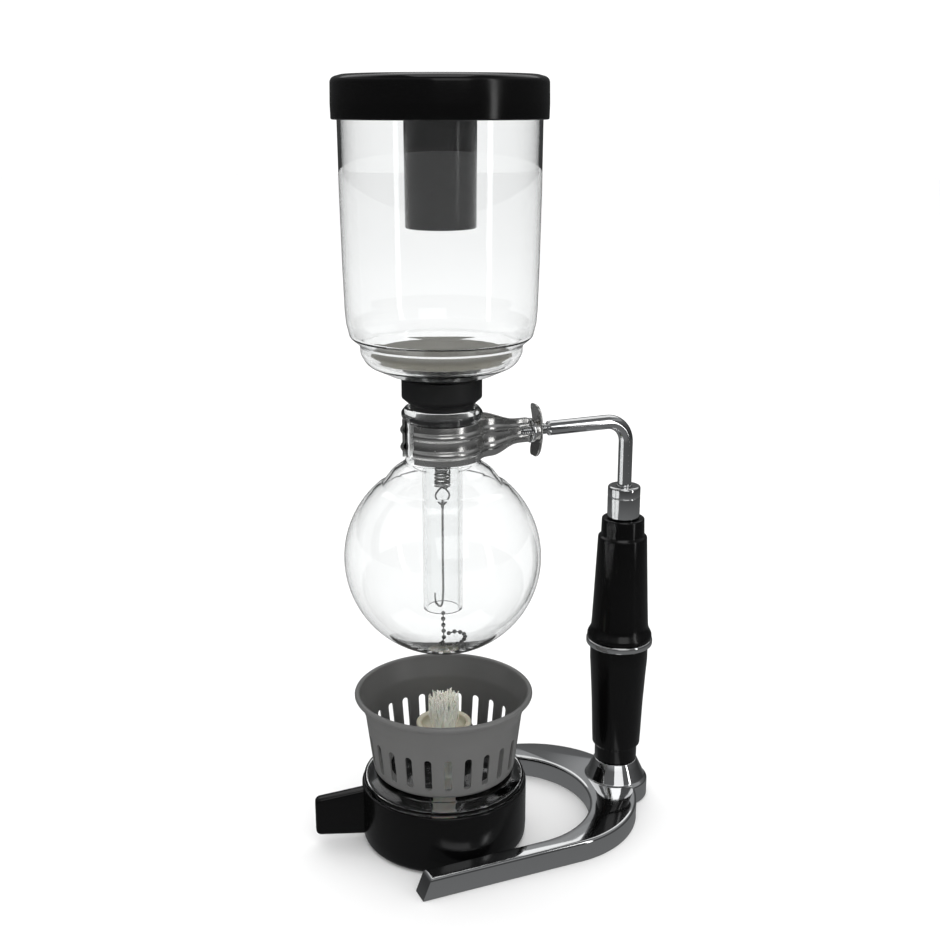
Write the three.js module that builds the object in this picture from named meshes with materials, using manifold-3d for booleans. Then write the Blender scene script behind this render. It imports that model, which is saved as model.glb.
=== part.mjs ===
// Siphon coffee maker: a stand that clamps a glass globe by its neck, a glass upper bowl plugged into it,
// and a spirit burner that stands loose between the arms of the base.
// Millimetres, +Z up. The origin is on the table, on the axis of the bowls; +X runs towards the post.
import * as THREE from "three";
import { mergeVertices } from "three/addons/utils/BufferGeometryUtils.js";
import Module from "manifold-3d";

const wasm = await Module();
wasm.setup();

// ---- driving dimensions ----

const GAP = 0.4; // running clearance between neighbouring pieces
const ROUND = 24; // steps round a large turned piece
const SMALL_ROUND = 16; // steps round a small one

// stand
const POST_X = 89; // post axis from the bowl axis
const BASE_THICK = 9.8;
const LIMB_W = 8.5; // width of each limb of the base
const LIMB_CLEAR = 2.5; // from the burner to the limb beside it
const BASE_OUTER_BACK = 43.5; // centre of the outside arc, from the post
const BASE_INNER_BACK = 58.5; // centre of the inside arc, from the post
const NEAR_LIMB_END_X = -29.5; // where the limb on the -Y side ends
const FAR_LIMB_END_X = -15; // where the other one does
const BASE_CHAMFER = 1.4;
const LIMB_TIP_SLOPE = 4; // how far the bevelled end of a limb leans back
const BOSS_R = 15.4;
const BOSS_TOP_R = 10;
const BOSS_TOP_Z = 18.8;
const TIE_ROD_R = 3;
const SCREW_HEAD_R = 5;
const SCREW_SHANK_R = 2;
const SCREW_REACH = 12; // how far the screw goes up into the tie rod
const SOCKET_R = 2;
const SOCKET_DEPTH = 2;
const LOWER_GRIP_H = 58.2;
const RING_H = 3.2;
const RING_R = 15.4;
const UPPER_GRIP_H = 58;
const FERRULE_R = 7.4;
const FERRULE_H = 14.8;
const ROD_R = 3.2;
const ROD_LEG = 37.4; // from the top of the ferrule's seat up to the level part of the rod
const ROD_BEND_R = 10;
const THREAD_R = 2.4;

// clamp
const NECK_R = 15.2; // outside of the glass neck
const BAND_H = 16.2;
const BAND_THICK = 1.6;
const BAND_BEAD = 0.9; // how far the two ribs stand proud
const JAW_OPEN_DEG = 24; // half the mouth between the jaw ends
const JAW_SPLIT = 0.5; // from the centre plane to each jaw
const ARM_END_X = 40;
const ARM_END_H = 10.2;
const NUT_R = 11.5;
const NUT_THICK = 3.6;
const NUT_W = 8.2; // across its two wings
const NUT_HUB_R = 4.4;
const COLLAR_R = 5.4;
const COLLAR_THICK = 1.4;

// glass
const GLASS = 1.4; // wall of both bowls
const GLOBE_R = 42.3;
const SHOULDER_H = 8.6; // cone between the globe and the neck
const LIP_PROUD = 1.8; // how far the lip stands out from the neck
const LIP_H = 5.2;
const STEM_R = 8.5;
const STEM_FOOT_GAP = 17.3; // from the globe's floor up to the end of the stem
const BOWL_STEP_R = 33.3; // the narrow seat under the side wall
const BOWL_FOOT_R = 38.6; // foot of the side wall
const BOWL_RIM_R = 40.7;
const BOWL_H = 114.4; // from the underside of its floor to its rim

// lid
const LID_WALL = 2;
const LID_H = 17;
const LID_TOP_THICK = 3;
const LID_RIM_GAP = 2; // the lid's top stays this far above the bowl's rim
const LID_CORNER = 3.5;
const LID_TUBE_R = 14.5;
const LID_TUBE_WALL = 2.1;
const LID_TUBE_H = 59;

// gasket
const FLANGE_PROUD = 1.6; // how far the flange stands out from the neck
const GASKET_FLANGE_H = 8.4;
const GASKET_REVEAL = 4.4; // plug seen between the flange and the lip
const PLUG_DEPTH = 11; // how far the gasket goes down into the neck

// filter
const FILTER_EDGE_GAP = 3.7; // from the metal plate to the bowl round it
const PLATE_THICK = 0.8;
const FILTER_RISE = 8.4; // from the bowl's floor to the underside of the plate
const CLOTH = 0.9; // thickness of the cloth as it lies
const CLOTH_MOUTH_R = 10.2; // mouth of the gathered cloth under the plate
const STRING_LOOP_R = 9.1;
const STRING_R = 0.6;
const STUD_R = 1.3;
const STUD_HEAD_R = 3.4;
const STUD_H = 7.6;
const SPRING_R = 3.55;
const SPRING_WIRE = 0.9;
const SPRING_H = 48.8;
const LINK_R = 2.9;
const LINK_WIRE_R = 0.45;
const HOOK_WIRE_R = 0.55;
const HOOK_DEG = 94; // side of the stem that the hook catches
const CHAIN_R = 0.95;

// burner
const HOLDER_R = 37;
const HOLDER_H = 27.5;
const HOLDER_WALL = 1.6;
const HOLDER_CORNER = 4.8;
const HANDLE_DEG = 166.5;
const HANDLE_REACH = 21.4; // how far the handle stands out
const HANDLE_THICK = 5;
const FONT_WALL = 1.6;
const FONT_BULGE = 1.2; // how far the font swells out over the holder's rim
const FONT_NECK_R = 13.6;
const FONT_SEAT_Z = 33.4; // the level that the windshield stands on
const FONT_TOP_Z = 47.6;
const SHIELD_FOOT_INSET = 3.6; // from the font's side to the windshield's foot
const SHIELD_HOLE_R = 25; // hole in the windshield's floor
const SHIELD_TAPER = 0.126; // how much the wall leans out
const SHIELD_FLARE = 3.3; // how far the rim flares out past the wall
const SHIELD_RIM_Z = 71;
const SHIELD_WALL = 0.9;
const SHIELD_BEAD_R = 1.35;
const SHIELD_TURN_DEG = 10.8;
const SLOTS = 24;
const SLOT_W = 3.2;
const SLOT_LOW_Z = 38;
const SLOT_HIGH_Z = 53.2;
const WICK_HOLDER_R = 12.4;
const WICK_CUP_R = 9.9;
const WICK_HOLDER_H = 7.9; // above the font's neck
const WICK_R = 5.2;
const WICK_TUFT_R = 7.1;
const WICK_TOP_Z = 69.5;
const WICK_FOOT_GAP = 5.6; // from the font's floor up to the end of the wick
const WICK_SLACK = 0.5;

const radians = THREE.MathUtils.degToRad;

// ---- helpers ----

// A solid from a closed geometry, turned the right way out.
function solid(geometry) {
  const bare = new THREE.BufferGeometry();
  const source = geometry.index ? geometry.toNonIndexed() : geometry;
  bare.setAttribute("position", source.getAttribute("position"));
  const merged = mergeVertices(bare, 1e-3);
  const index = merged.index.array;
  const triangles = [];
  for (let i = 0; i < index.length; i += 3) {
    const [a, b, c] = [index[i], index[i + 1], index[i + 2]];
    if (a !== b && b !== c && c !== a) triangles.push(a, b, c);
  }
  const vertices = merged.getAttribute("position").array;
  const build = () =>
    new wasm.Manifold(
      new wasm.Mesh({
        numProp: 3,
        vertProperties: vertices,
        triVerts: new Uint32Array(triangles),
      }),
    );
  const made = build();
  if (made.volume() >= 0) return made;
  for (let i = 0; i < triangles.length; i += 3)
    [triangles[i + 1], triangles[i + 2]] = [triangles[i + 2], triangles[i + 1]];
  return build();
}

// A named mesh from a solid.
function piece(name, made, color, roughness, metalness = 0) {
  const mesh = made.getMesh();
  const geometry = new THREE.BufferGeometry();
  geometry.setAttribute("position", new THREE.BufferAttribute(mesh.vertProperties, 3));
  geometry.setIndex(new THREE.BufferAttribute(mesh.triVerts, 1));
  geometry.computeVertexNormals();
  const material = new THREE.MeshStandardMaterial({ color, roughness, metalness });
  if (color === GLASS_COLOR) {
    material.transparent = true;
    material.opacity = 0.3;
  }
  const node = new THREE.Mesh(geometry, material);
  node.name = name;
  return node;
}

const GLASS_COLOR = 0xe8eeee;
const chrome = (name, made) => piece(name, made, 0xd0d2d4, 0.08, 1);
const steel = (name, made) => piece(name, made, 0xb8babc, 0.3, 1);
const black = (name, made) => piece(name, made, 0x0c0c0d, 0.22);
const glass = (name, made) => piece(name, made, GLASS_COLOR, 0.02);

// Points of an arc about (r, z), from one angle to another, in degrees.
function arc(r, z, radius, from, to, steps) {
  return Array.from({ length: steps + 1 }, (_, i) => {
    const a = radians(from + ((to - from) * i) / steps);
    return [r + radius * Math.cos(a), z + radius * Math.sin(a)];
  });
}

// A turned solid about Z from [radius, height] points; an outline that leaves the axis closes on itself.
function turned(points, steps = ROUND) {
  const outline = points.map(([r, z]) => new THREE.Vector2(r, z));
  if (points[0][0] > 0) outline.push(outline[0].clone());
  return solid(new THREE.LatheGeometry(outline, steps).rotateX(Math.PI / 2));
}

// A tube or rod section: a turned ring between two heights.
const ring = (inner, outer, low, high, steps) =>
  turned([[inner, low], [outer, low], [outer, high], [inner, high]], steps);

const rod = (radius, low, high, steps = SMALL_ROUND) =>
  turned([[0, low], [radius, low], [radius, high], [0, high]], steps);

// The same solid laid along +X, its +Z end pointing along +X.
const alongX = (made) => made.rotate([0, 90, 0]);

// A plan outline raised from one height to another.
function raised(shape, low, high, curveSegments = 16) {
  const options = { depth: high - low, bevelEnabled: false, curveSegments };
  return solid(new THREE.ExtrudeGeometry(shape, options)).translate([0, 0, low]);
}

// A polygon in plan.
function polygon(points) {
  return new THREE.Shape(points.map(([x, y]) => new THREE.Vector2(x, y)));
}

// An outline given as [x, z] points, drawn across Y from one side to the other.
function across(points, from, to) {
  const slab = raised(polygon(points), 0, to - from);
  return slab.rotate([90, 0, 0]).translate([0, to, 0]);
}

// A box by its lowest and highest corners.
function block([x0, y0, z0], [x1, y1, z1]) {
  const box = new THREE.BoxGeometry(x1 - x0, y1 - y0, z1 - z0);
  return solid(box.translate((x0 + x1) / 2, (y0 + y1) / 2, (z0 + z1) / 2));
}

// A wire or bar of round section along a curve.
function along(curve, radius, steps, sides) {
  const section = new THREE.Shape(
    Array.from({ length: sides }, (_, i) => {
      const a = (i * 2 * Math.PI) / sides;
      return new THREE.Vector2(radius * Math.cos(a), radius * Math.sin(a));
    }),
  );
  return solid(new THREE.ExtrudeGeometry(section, { steps, extrudePath: curve }));
}

// The inside of a wall whose outside runs from the middle of the floor up to the rim, as points of
// the same outline moved in by the wall's thickness, given back from the rim down.
function insideOf(outline, wall) {
  const left = outline.slice(1).map(([r, z], i) => {
    const [dr, dz] = [r - outline[i][0], z - outline[i][1]];
    const length = Math.hypot(dr, dz);
    return [-dz / length, dr / length];
  });
  const moved = outline.map(([r, z], i) => {
    const [a, b] = [left[Math.max(i - 1, 0)], left[Math.min(i, left.length - 1)]];
    const reach = wall / (1 + a[0] * b[0] + a[1] * b[1]);
    return [r === 0 ? 0 : r + (a[0] + b[0]) * reach, z + (a[1] + b[1]) * reach];
  });
  return moved.reverse();
}

// ---- sizes and heights that follow from the driving dimensions ----

const BASE_INNER_R = HOLDER_R + LIMB_CLEAR;
const BASE_OUTER_R = BASE_INNER_R + LIMB_W;
const BASE_OUTER_X = POST_X - BASE_OUTER_BACK;
const BASE_INNER_X = POST_X - BASE_INNER_BACK;
const LOWER_GRIP_Z = BOSS_TOP_Z + GAP;
const RING_Z = LOWER_GRIP_Z + LOWER_GRIP_H + GAP;
const UPPER_GRIP_Z = RING_Z + RING_H + GAP;
const FERRULE_Z = UPPER_GRIP_Z + UPPER_GRIP_H + GAP;
const TIE_ROD_TOP_Z = FERRULE_Z + FERRULE_H / 2 - GAP;
const ROD_END_Z = FERRULE_Z + FERRULE_H / 2 + GAP;
const ROD_Z = ROD_END_Z + ROD_LEG;
const SCREW_SEAT_Z = 5; // depth of the screw's pocket under the boss
const TIE_ROD_Z = SCREW_SEAT_Z + 3.6;
const TIE_BORE_R = TIE_ROD_R + GAP;
const BAND_INNER_R = NECK_R + GAP;
const BAND_TOP_Z = ROD_Z + BAND_H / 2 + 0.6;
const BAND_LOW_Z = BAND_TOP_Z - BAND_H;
const COLLAR_X = ARM_END_X + GAP;
const NUT_X = COLLAR_X + COLLAR_THICK + GAP;
const NUT_TRAVEL_ROOM = 3.6; // more than two turns of the nut
const ROD_START_X = NUT_X + NUT_THICK + NUT_TRAVEL_ROOM;
const THREAD_START_X = ARM_END_X - 4;
const NECK_INNER_R = NECK_R - GLASS;
const NECK_FILLET = 1.6; // where the shoulder turns up into the neck
const NECK_FOOT_Z = BAND_LOW_Z - NECK_FILLET - GAP;
const LIP_TOP_Z = BAND_TOP_Z + GAP + LIP_H;
const GLOBE_JOIN_DEG = 50; // where the shoulder leaves the globe
const GLOBE_JOIN_H = GLOBE_R * Math.sin(radians(GLOBE_JOIN_DEG));
const GLOBE_JOIN_DROP = 1.2; // from the shoulder's foot down to the globe
const GLOBE_Z = NECK_FOOT_Z - SHOULDER_H - GLOBE_JOIN_DROP - GLOBE_JOIN_H;
const STEM_END_Z = GLOBE_Z - GLOBE_R + GLASS + STEM_FOOT_GAP;
const STEM_INNER_R = STEM_R - GLASS;
const GASKET_FLANGE_R = NECK_R + FLANGE_PROUD;
const LIP_R = NECK_R + LIP_PROUD;
const GASKET_FLANGE_Z = LIP_TOP_Z + GASKET_REVEAL;
const GASKET_TOP_Z = GASKET_FLANGE_Z + GASKET_FLANGE_H;
const BOWL_FLOOR_Z = GASKET_TOP_Z + GAP;
const BOWL_RIM_Z = BOWL_FLOOR_Z + BOWL_H;
const LID_INNER_R = BOWL_RIM_R + GAP;
const LID_R = LID_INNER_R + LID_WALL;
const LID_TOP_Z = BOWL_RIM_Z + LID_RIM_GAP + LID_TOP_THICK;
const LID_LOW_Z = LID_TOP_Z - LID_H;
const LID_TUBE_END_Z = LID_TOP_Z - LID_TUBE_H;
const FILTER_Z = BOWL_FLOOR_Z + FILTER_RISE;
const STUD_END_Z = FILTER_Z - STUD_H;
const SPRING_TOP_Z = STUD_END_Z - GAP;
const SPRING_END_Z = SPRING_TOP_Z - SPRING_H;
const FILTER_R = BOWL_STEP_R - GLASS - FILTER_EDGE_GAP;
const FONT_R = HOLDER_R - HOLDER_WALL - GAP;
const FONT_FLOOR_Z = 2.4;
const SHIELD_FOOT_R = FONT_R - SHIELD_FOOT_INSET;
const SHIELD_FLOOR_Z = FONT_SEAT_Z + GAP;
const WICK_BORE_R = WICK_R + WICK_SLACK;
const WICK_HOLDER_TOP_Z = FONT_TOP_Z + WICK_HOLDER_H;

// ---- stand ----

function basePlan() {
  const quarter = Math.PI / 2;
  const shape = new THREE.Shape();
  shape.moveTo(NEAR_LIMB_END_X, -BASE_OUTER_R);
  shape.lineTo(BASE_OUTER_X, -BASE_OUTER_R);
  shape.absarc(BASE_OUTER_X, 0, BASE_OUTER_R, -quarter, quarter, false);
  shape.lineTo(FAR_LIMB_END_X, BASE_OUTER_R);
  shape.lineTo(FAR_LIMB_END_X, BASE_INNER_R);
  shape.lineTo(BASE_INNER_X, BASE_INNER_R);
  shape.absarc(BASE_INNER_X, 0, BASE_INNER_R, quarter, -quarter, true);
  shape.lineTo(NEAR_LIMB_END_X, -BASE_INNER_R);
  return shape;
}

// A wedge that bevels the end of a limb.
const tipCut = (endX, from, to) =>
  across([
    [endX - 10, BASE_CHAMFER],
    [endX, BASE_CHAMFER],
    [endX + LIMB_TIP_SLOPE, BASE_THICK + 1],
    [endX - 10, BASE_THICK + 1],
  ], from, to);

function makeBase() {
  const plate = new THREE.ExtrudeGeometry(basePlan(), {
    depth: BASE_THICK - BASE_CHAMFER,
    bevelThickness: BASE_CHAMFER,
    bevelSize: BASE_CHAMFER,
    bevelOffset: -BASE_CHAMFER,
    bevelSegments: 1,
    curveSegments: 12,
  });
  const reach = 2 * POST_X;
  let base = solid(plate)
    .subtract(block([-reach, -reach, -reach], [reach, reach, 0]))
    .subtract(tipCut(NEAR_LIMB_END_X, -BASE_OUTER_R - 1, 0))
    .subtract(tipCut(FAR_LIMB_END_X, 0, BASE_OUTER_R + 1));
  const boss = turned([
    [0, 0],
    [BOSS_R, 0],
    [BOSS_R, BASE_THICK - 1],
    [BOSS_R - 1, BASE_THICK],
    [BOSS_TOP_R, BOSS_TOP_Z],
    [0, BOSS_TOP_Z],
  ]);
  base = base.add(boss.translate([POST_X, 0, 0]));
  const pocket = turned([
    [0, -1],
    [SCREW_HEAD_R + GAP, -1],
    [SCREW_HEAD_R + GAP, SCREW_SEAT_Z],
    [SCREW_SHANK_R + GAP, SCREW_SEAT_Z],
    [SCREW_SHANK_R + GAP, TIE_ROD_Z - GAP],
    [TIE_BORE_R, TIE_ROD_Z - GAP],
    [TIE_BORE_R, BOSS_TOP_Z + 1],
    [0, BOSS_TOP_Z + 1],
  ], SMALL_ROUND);
  return base.subtract(pocket.translate([POST_X, 0, 0]));
}

function makeBaseScrew() {
  const low = 1.2;
  const head = SCREW_SEAT_Z - GAP;
  const end = TIE_ROD_Z + SCREW_REACH;
  const socket = rod(SOCKET_R, low - 1, low + SOCKET_DEPTH, 6);
  return turned([
    [0, low],
    [SCREW_HEAD_R, low],
    [SCREW_HEAD_R, head],
    [SCREW_SHANK_R, head],
    [SCREW_SHANK_R, end],
    [0, end],
  ], SMALL_ROUND).subtract(socket);
}

function makeTieRod() {
  const tap = rod(SCREW_SHANK_R + GAP, TIE_ROD_Z - 1, TIE_ROD_Z + SCREW_REACH + GAP);
  return rod(TIE_ROD_R, TIE_ROD_Z, TIE_ROD_TOP_Z).subtract(tap);
}

// A turned grip: a black sleeve on the tie rod.
function makeGrip(z, outline) {
  const height = (r, h) => [r, z + h];
  return turned([
    height(TIE_BORE_R, 0),
    ...outline.map(([r, h]) => height(r, h)),
    height(TIE_BORE_R, outline[outline.length - 1][1]),
  ]);
}

const makeLowerGrip = () =>
  makeGrip(LOWER_GRIP_Z, [
    [9.7, 0],
    [9.9, 7],
    [11.2, 8],
    [12.05, 29],
    [13.3, LOWER_GRIP_H - 5],
    [13.3, LOWER_GRIP_H],
  ]);

const makeUpperGrip = () =>
  makeGrip(UPPER_GRIP_Z, [
    [15.1, 0],
    [14.6, 2.6],
    [13.1, 7.5],
    [12.6, 18],
    [11.7, 37],
    [11.2, UPPER_GRIP_H - 9],
    [9.9, UPPER_GRIP_H - 8.2],
    [9.7, UPPER_GRIP_H],
  ]);

const makeGripRing = () =>
  turned([
    [TIE_BORE_R, RING_Z],
    [RING_R - 0.6, RING_Z],
    [RING_R, RING_Z + 0.6],
    [RING_R, RING_Z + RING_H - 0.6],
    [RING_R - 0.6, RING_Z + RING_H],
    [TIE_BORE_R, RING_Z + RING_H],
  ]);

const makeFerrule = () =>
  turned([
    [ROD_R + GAP, FERRULE_Z],
    [FERRULE_R, FERRULE_Z],
    [FERRULE_R, FERRULE_Z + FERRULE_H - 1.2],
    [FERRULE_R - 1.2, FERRULE_Z + FERRULE_H],
    [ROD_R + GAP, FERRULE_Z + FERRULE_H],
  ]);

function makeBentRod() {
  const path = new THREE.CurvePath();
  const bendX = POST_X - ROD_BEND_R;
  const bendZ = ROD_Z - ROD_BEND_R;
  const point = (x, z) => new THREE.Vector3(x, 0, z);
  const quarter = (a) =>
    point(bendX + ROD_BEND_R * Math.sin(a), bendZ + ROD_BEND_R * Math.cos(a));
  path.add(new THREE.LineCurve3(point(ROD_START_X, ROD_Z), point(bendX, ROD_Z)));
  const bends = 8;
  for (let i = 0; i < bends; i++) {
    const step = Math.PI / 2 / bends;
    path.add(new THREE.LineCurve3(quarter(i * step), quarter((i + 1) * step)));
  }
  path.add(new THREE.LineCurve3(point(POST_X, bendZ), point(POST_X, ROD_END_Z)));
  const bar = along(path, ROD_R, 26, 10);
  const thread = rod(THREAD_R, THREAD_START_X, ROD_START_X + 1);
  return bar.add(alongX(thread).translate([0, 0, ROD_Z]));
}

// ---- neck clamp ----

// One jaw on the -Y side; the other is its mirror image.
function makeJaw() {
  const outer = BAND_INNER_R + BAND_THICK;
  const rib = (z) => [
    [outer, z + 1.6],
    [outer + BAND_BEAD, z + 0.8],
    [outer + BAND_BEAD, z - 0.8],
    [outer, z - 1.6],
  ];
  const band = turned([
    [BAND_INNER_R, BAND_LOW_Z],
    [BAND_INNER_R, BAND_TOP_Z],
    [outer, BAND_TOP_Z],
    ...rib(BAND_TOP_Z - 4.4),
    ...rib(BAND_LOW_Z + 4.4),
    [outer, BAND_LOW_Z],
  ]);
  const reach = 2 * BAND_INNER_R;
  const mouth = radians(JAW_OPEN_DEG);
  const side = polygon([
    [0, -JAW_SPLIT],
    [-BAND_INNER_R / 2, -JAW_SPLIT],
    [-reach * Math.cos(mouth), -reach * Math.sin(mouth)],
    [-reach, -reach],
    [reach, -reach],
    [reach, -JAW_SPLIT],
  ]);
  const half = band.intersect(raised(side, BAND_LOW_Z - 1, BAND_TOP_Z + 1));
  const armPlan = polygon([
    [BAND_INNER_R - 4, -JAW_SPLIT],
    [BAND_INNER_R - 4, -11],
    [BAND_INNER_R - 1, -9.2],
    [BAND_INNER_R + 3, -6.4],
    [BAND_INNER_R + 8, -4.6],
    [ARM_END_X, -3.9],
    [ARM_END_X, -JAW_SPLIT],
  ]);
  const neck = rod(BAND_INNER_R, BAND_LOW_Z - 1, BAND_TOP_Z + 1, ROUND);
  const arm = raised(armPlan, BAND_LOW_Z, BAND_TOP_Z).subtract(neck);
  const mid = ROD_Z;
  const profile = across([
    [-reach, BAND_LOW_Z],
    [BAND_INNER_R + 3, BAND_LOW_Z],
    [BAND_INNER_R + 10, mid - ARM_END_H / 2 - 1],
    [ARM_END_X + 1, mid - ARM_END_H / 2],
    [ARM_END_X + 1, mid + ARM_END_H / 2],
    [BAND_INNER_R + 4, BAND_TOP_Z],
    [-reach, BAND_TOP_Z],
  ], -reach, reach);
  const bore = alongX(rod(THREAD_R + GAP, THREAD_START_X - GAP, ARM_END_X + 1));
  return half.add(arm).intersect(profile).subtract(bore.translate([0, 0, mid]));
}

const mirrored = (made) => made.mirror([0, 1, 0]);

const makeThrustCollar = () =>
  alongX(ring(THREAD_R + GAP, COLLAR_R, COLLAR_X, COLLAR_X + COLLAR_THICK, SMALL_ROUND))
    .translate([0, 0, ROD_Z]);

// A hub with two wings, one up and one down, that bow back towards the bowls.
function makeThumbNut() {
  const bore = THREAD_R + GAP;
  const plate = turned([
    [bore, NUT_X + 1.4],
    [NUT_R - 3, NUT_X + 0.4],
    [NUT_R - 0.8, NUT_X],
    [NUT_R, NUT_X + 0.5],
    [NUT_R, NUT_X + 1.1],
    [NUT_R - 3, NUT_X + 2],
    [bore, NUT_X + 3],
  ]);
  const half = NUT_W / 2;
  const wings = plate.intersect(block([-NUT_R, -half, NUT_X - 1], [NUT_R, half, NUT_X + NUT_THICK]));
  const hub = ring(bore, NUT_HUB_R, NUT_X, NUT_X + NUT_THICK);
  return alongX(wings.add(hub)).translate([0, 0, ROD_Z]);
}

// ---- glass ----

function makeLowerBowl() {
  const lipMid = LIP_TOP_Z - LIP_H / 2;
  const joinR = GLOBE_R * Math.cos(radians(GLOBE_JOIN_DEG));
  const body = [
    ...arc(0, GLOBE_Z, GLOBE_R, -90, GLOBE_JOIN_DEG, 11).map(([r, z], i) => [i ? r : 0, z]),
    [joinR - 2.6, NECK_FOOT_Z - SHOULDER_H],
    [NECK_R + 4.2, NECK_FOOT_Z - 1.4],
    [NECK_R + 1, NECK_FOOT_Z],
    [NECK_R, NECK_FOOT_Z + NECK_FILLET],
  ];
  return turned([
    ...body,
    [NECK_R, LIP_TOP_Z - LIP_H],
    [LIP_R - 0.5, lipMid - 1.3],
    [LIP_R, lipMid],
    [LIP_R - 0.5, lipMid + 1.6],
    [NECK_R, LIP_TOP_Z],
    [NECK_INNER_R + 0.6, LIP_TOP_Z - 0.3],
    ...insideOf([...body, [NECK_R, LIP_TOP_Z - 1.4]], GLASS),
  ]);
}

function makeUpperBowl() {
  const floor = BOWL_FLOOR_Z;
  const flare = BOWL_RIM_R - BOWL_FOOT_R;
  const outside = [
    [STEM_R, STEM_END_Z],
    [STEM_R, floor - 3],
    [STEM_R + 2, floor],
    [19, floor + 0.5],
    [24.6, floor + 2.2],
    [29, floor + 4.4],
    [BOWL_STEP_R - 1.2, floor + 6.6],
    [BOWL_STEP_R, floor + 9],
    [BOWL_STEP_R + 0.1, floor + 12.6],
    [BOWL_FOOT_R - 4, floor + 14.8],
    [BOWL_FOOT_R - 1.5, floor + 16.8],
    [BOWL_FOOT_R, floor + 20],
    [BOWL_FOOT_R + 0.34 * flare, floor + 27],
    [BOWL_FOOT_R + 0.62 * flare, floor + 47.4],
    [BOWL_FOOT_R + 0.86 * flare, floor + 75],
    [BOWL_RIM_R, BOWL_RIM_Z - 0.5],
  ];
  return turned([
    ...outside,
    [BOWL_RIM_R - 0.5, BOWL_RIM_Z],
    [BOWL_RIM_R - GLASS + 0.5, BOWL_RIM_Z],
    ...insideOf(outside, GLASS),
  ]);
}

// ---- lid and gasket ----

function makeLid() {
  const top = LID_TOP_Z;
  const under = top - LID_TOP_THICK;
  const bore = LID_TUBE_R - LID_TUBE_WALL;
  return turned([
    [0, under],
    [bore, under],
    [bore, LID_TUBE_END_Z],
    [LID_TUBE_R, LID_TUBE_END_Z],
    [LID_TUBE_R, under],
    [LID_INNER_R, under],
    [LID_INNER_R, LID_LOW_Z],
    [LID_R, LID_LOW_Z],
    ...arc(LID_R - LID_CORNER, top - LID_CORNER, LID_CORNER, 0, 90, 5),
    [0, top],
  ]);
}

function makeGasket() {
  const bore = STEM_R + GAP;
  const plug = NECK_INNER_R - GAP;
  return turned([
    [bore, LIP_TOP_Z - PLUG_DEPTH],
    [plug - 0.7, LIP_TOP_Z - PLUG_DEPTH],
    [plug, LIP_TOP_Z - PLUG_DEPTH + 3],
    [plug, GASKET_FLANGE_Z - 1.7],
    [GASKET_FLANGE_R, GASKET_FLANGE_Z],
    [GASKET_FLANGE_R, GASKET_TOP_Z - 0.6],
    [GASKET_FLANGE_R - 0.6, GASKET_TOP_Z],
    [STEM_R + 2 + GAP, GASKET_TOP_Z],
    [bore, GASKET_TOP_Z - 3],
  ]);
}

// ---- filter ----

const makeFilterPlate = () => rod(FILTER_R, FILTER_Z, FILTER_Z + PLATE_THICK, ROUND);

function makeFilterCloth() {
  const low = FILTER_Z - GAP;
  const high = FILTER_Z + PLATE_THICK + GAP;
  const edge = FILTER_R + GAP;
  return turned([
    [0, high],
    [edge, high],
    [edge, low],
    [CLOTH_MOUTH_R, low],
    [CLOTH_MOUTH_R, low - CLOTH / 2],
    [edge - 0.2, low - CLOTH / 2],
    [edge + CLOTH / 2, low],
    [edge + CLOTH / 2, high + CLOTH / 2],
    [edge - 0.4, high + CLOTH],
    [0, high + CLOTH],
  ]);
}

const makeDrawstring = () => {
  const loop = new THREE.TorusGeometry(STRING_LOOP_R, STRING_R, 6, 20);
  return solid(loop).translate([0, 0, FILTER_Z - GAP - STRING_R]);
};

const makeFilterStud = () =>
  turned([
    [0, STUD_END_Z],
    [STUD_R, STUD_END_Z],
    [STUD_R, FILTER_Z - 1.2],
    [STUD_HEAD_R, FILTER_Z - 1.2],
    [STUD_HEAD_R, FILTER_Z - GAP],
    [0, FILTER_Z - GAP],
  ], SMALL_ROUND);

const makeFilterSpring = () =>
  ring(SPRING_R - SPRING_WIRE, SPRING_R, SPRING_END_Z, SPRING_TOP_Z, SMALL_ROUND);

const LINK_Z = SPRING_END_Z - GAP - LINK_R - LINK_WIRE_R;

const makeSplitLink = () => {
  const loop = new THREE.TorusGeometry(LINK_R, LINK_WIRE_R, 6, 16).rotateX(Math.PI / 2);
  return solid(loop.rotateZ(radians(HANDLE_DEG))).translate([0, 0, LINK_Z]);
};

function makeHookWire() {
  const top = LINK_Z - LINK_R - LINK_WIRE_R - GAP;
  const under = STEM_END_Z - HOOK_WIRE_R - GAP;
  const side = radians(HOOK_DEG);
  const point = (s, z) => new THREE.Vector3(s * Math.cos(side), s * Math.sin(side), z);
  const outer = STEM_R + HOOK_WIRE_R + GAP;
  const path = new THREE.CatmullRomCurve3([
    point(0, top),
    point(0, STEM_END_Z + 20),
    point(0, STEM_END_Z + 5),
    point(1.6, under + 1.4),
    point(5, under),
    point(STEM_R - 0.6, under),
    point(outer - 0.1, under + 1.2),
    point(outer, STEM_END_Z + 3.6),
  ]);
  return along(path, HOOK_WIRE_R, 36, 6);
}

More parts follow.
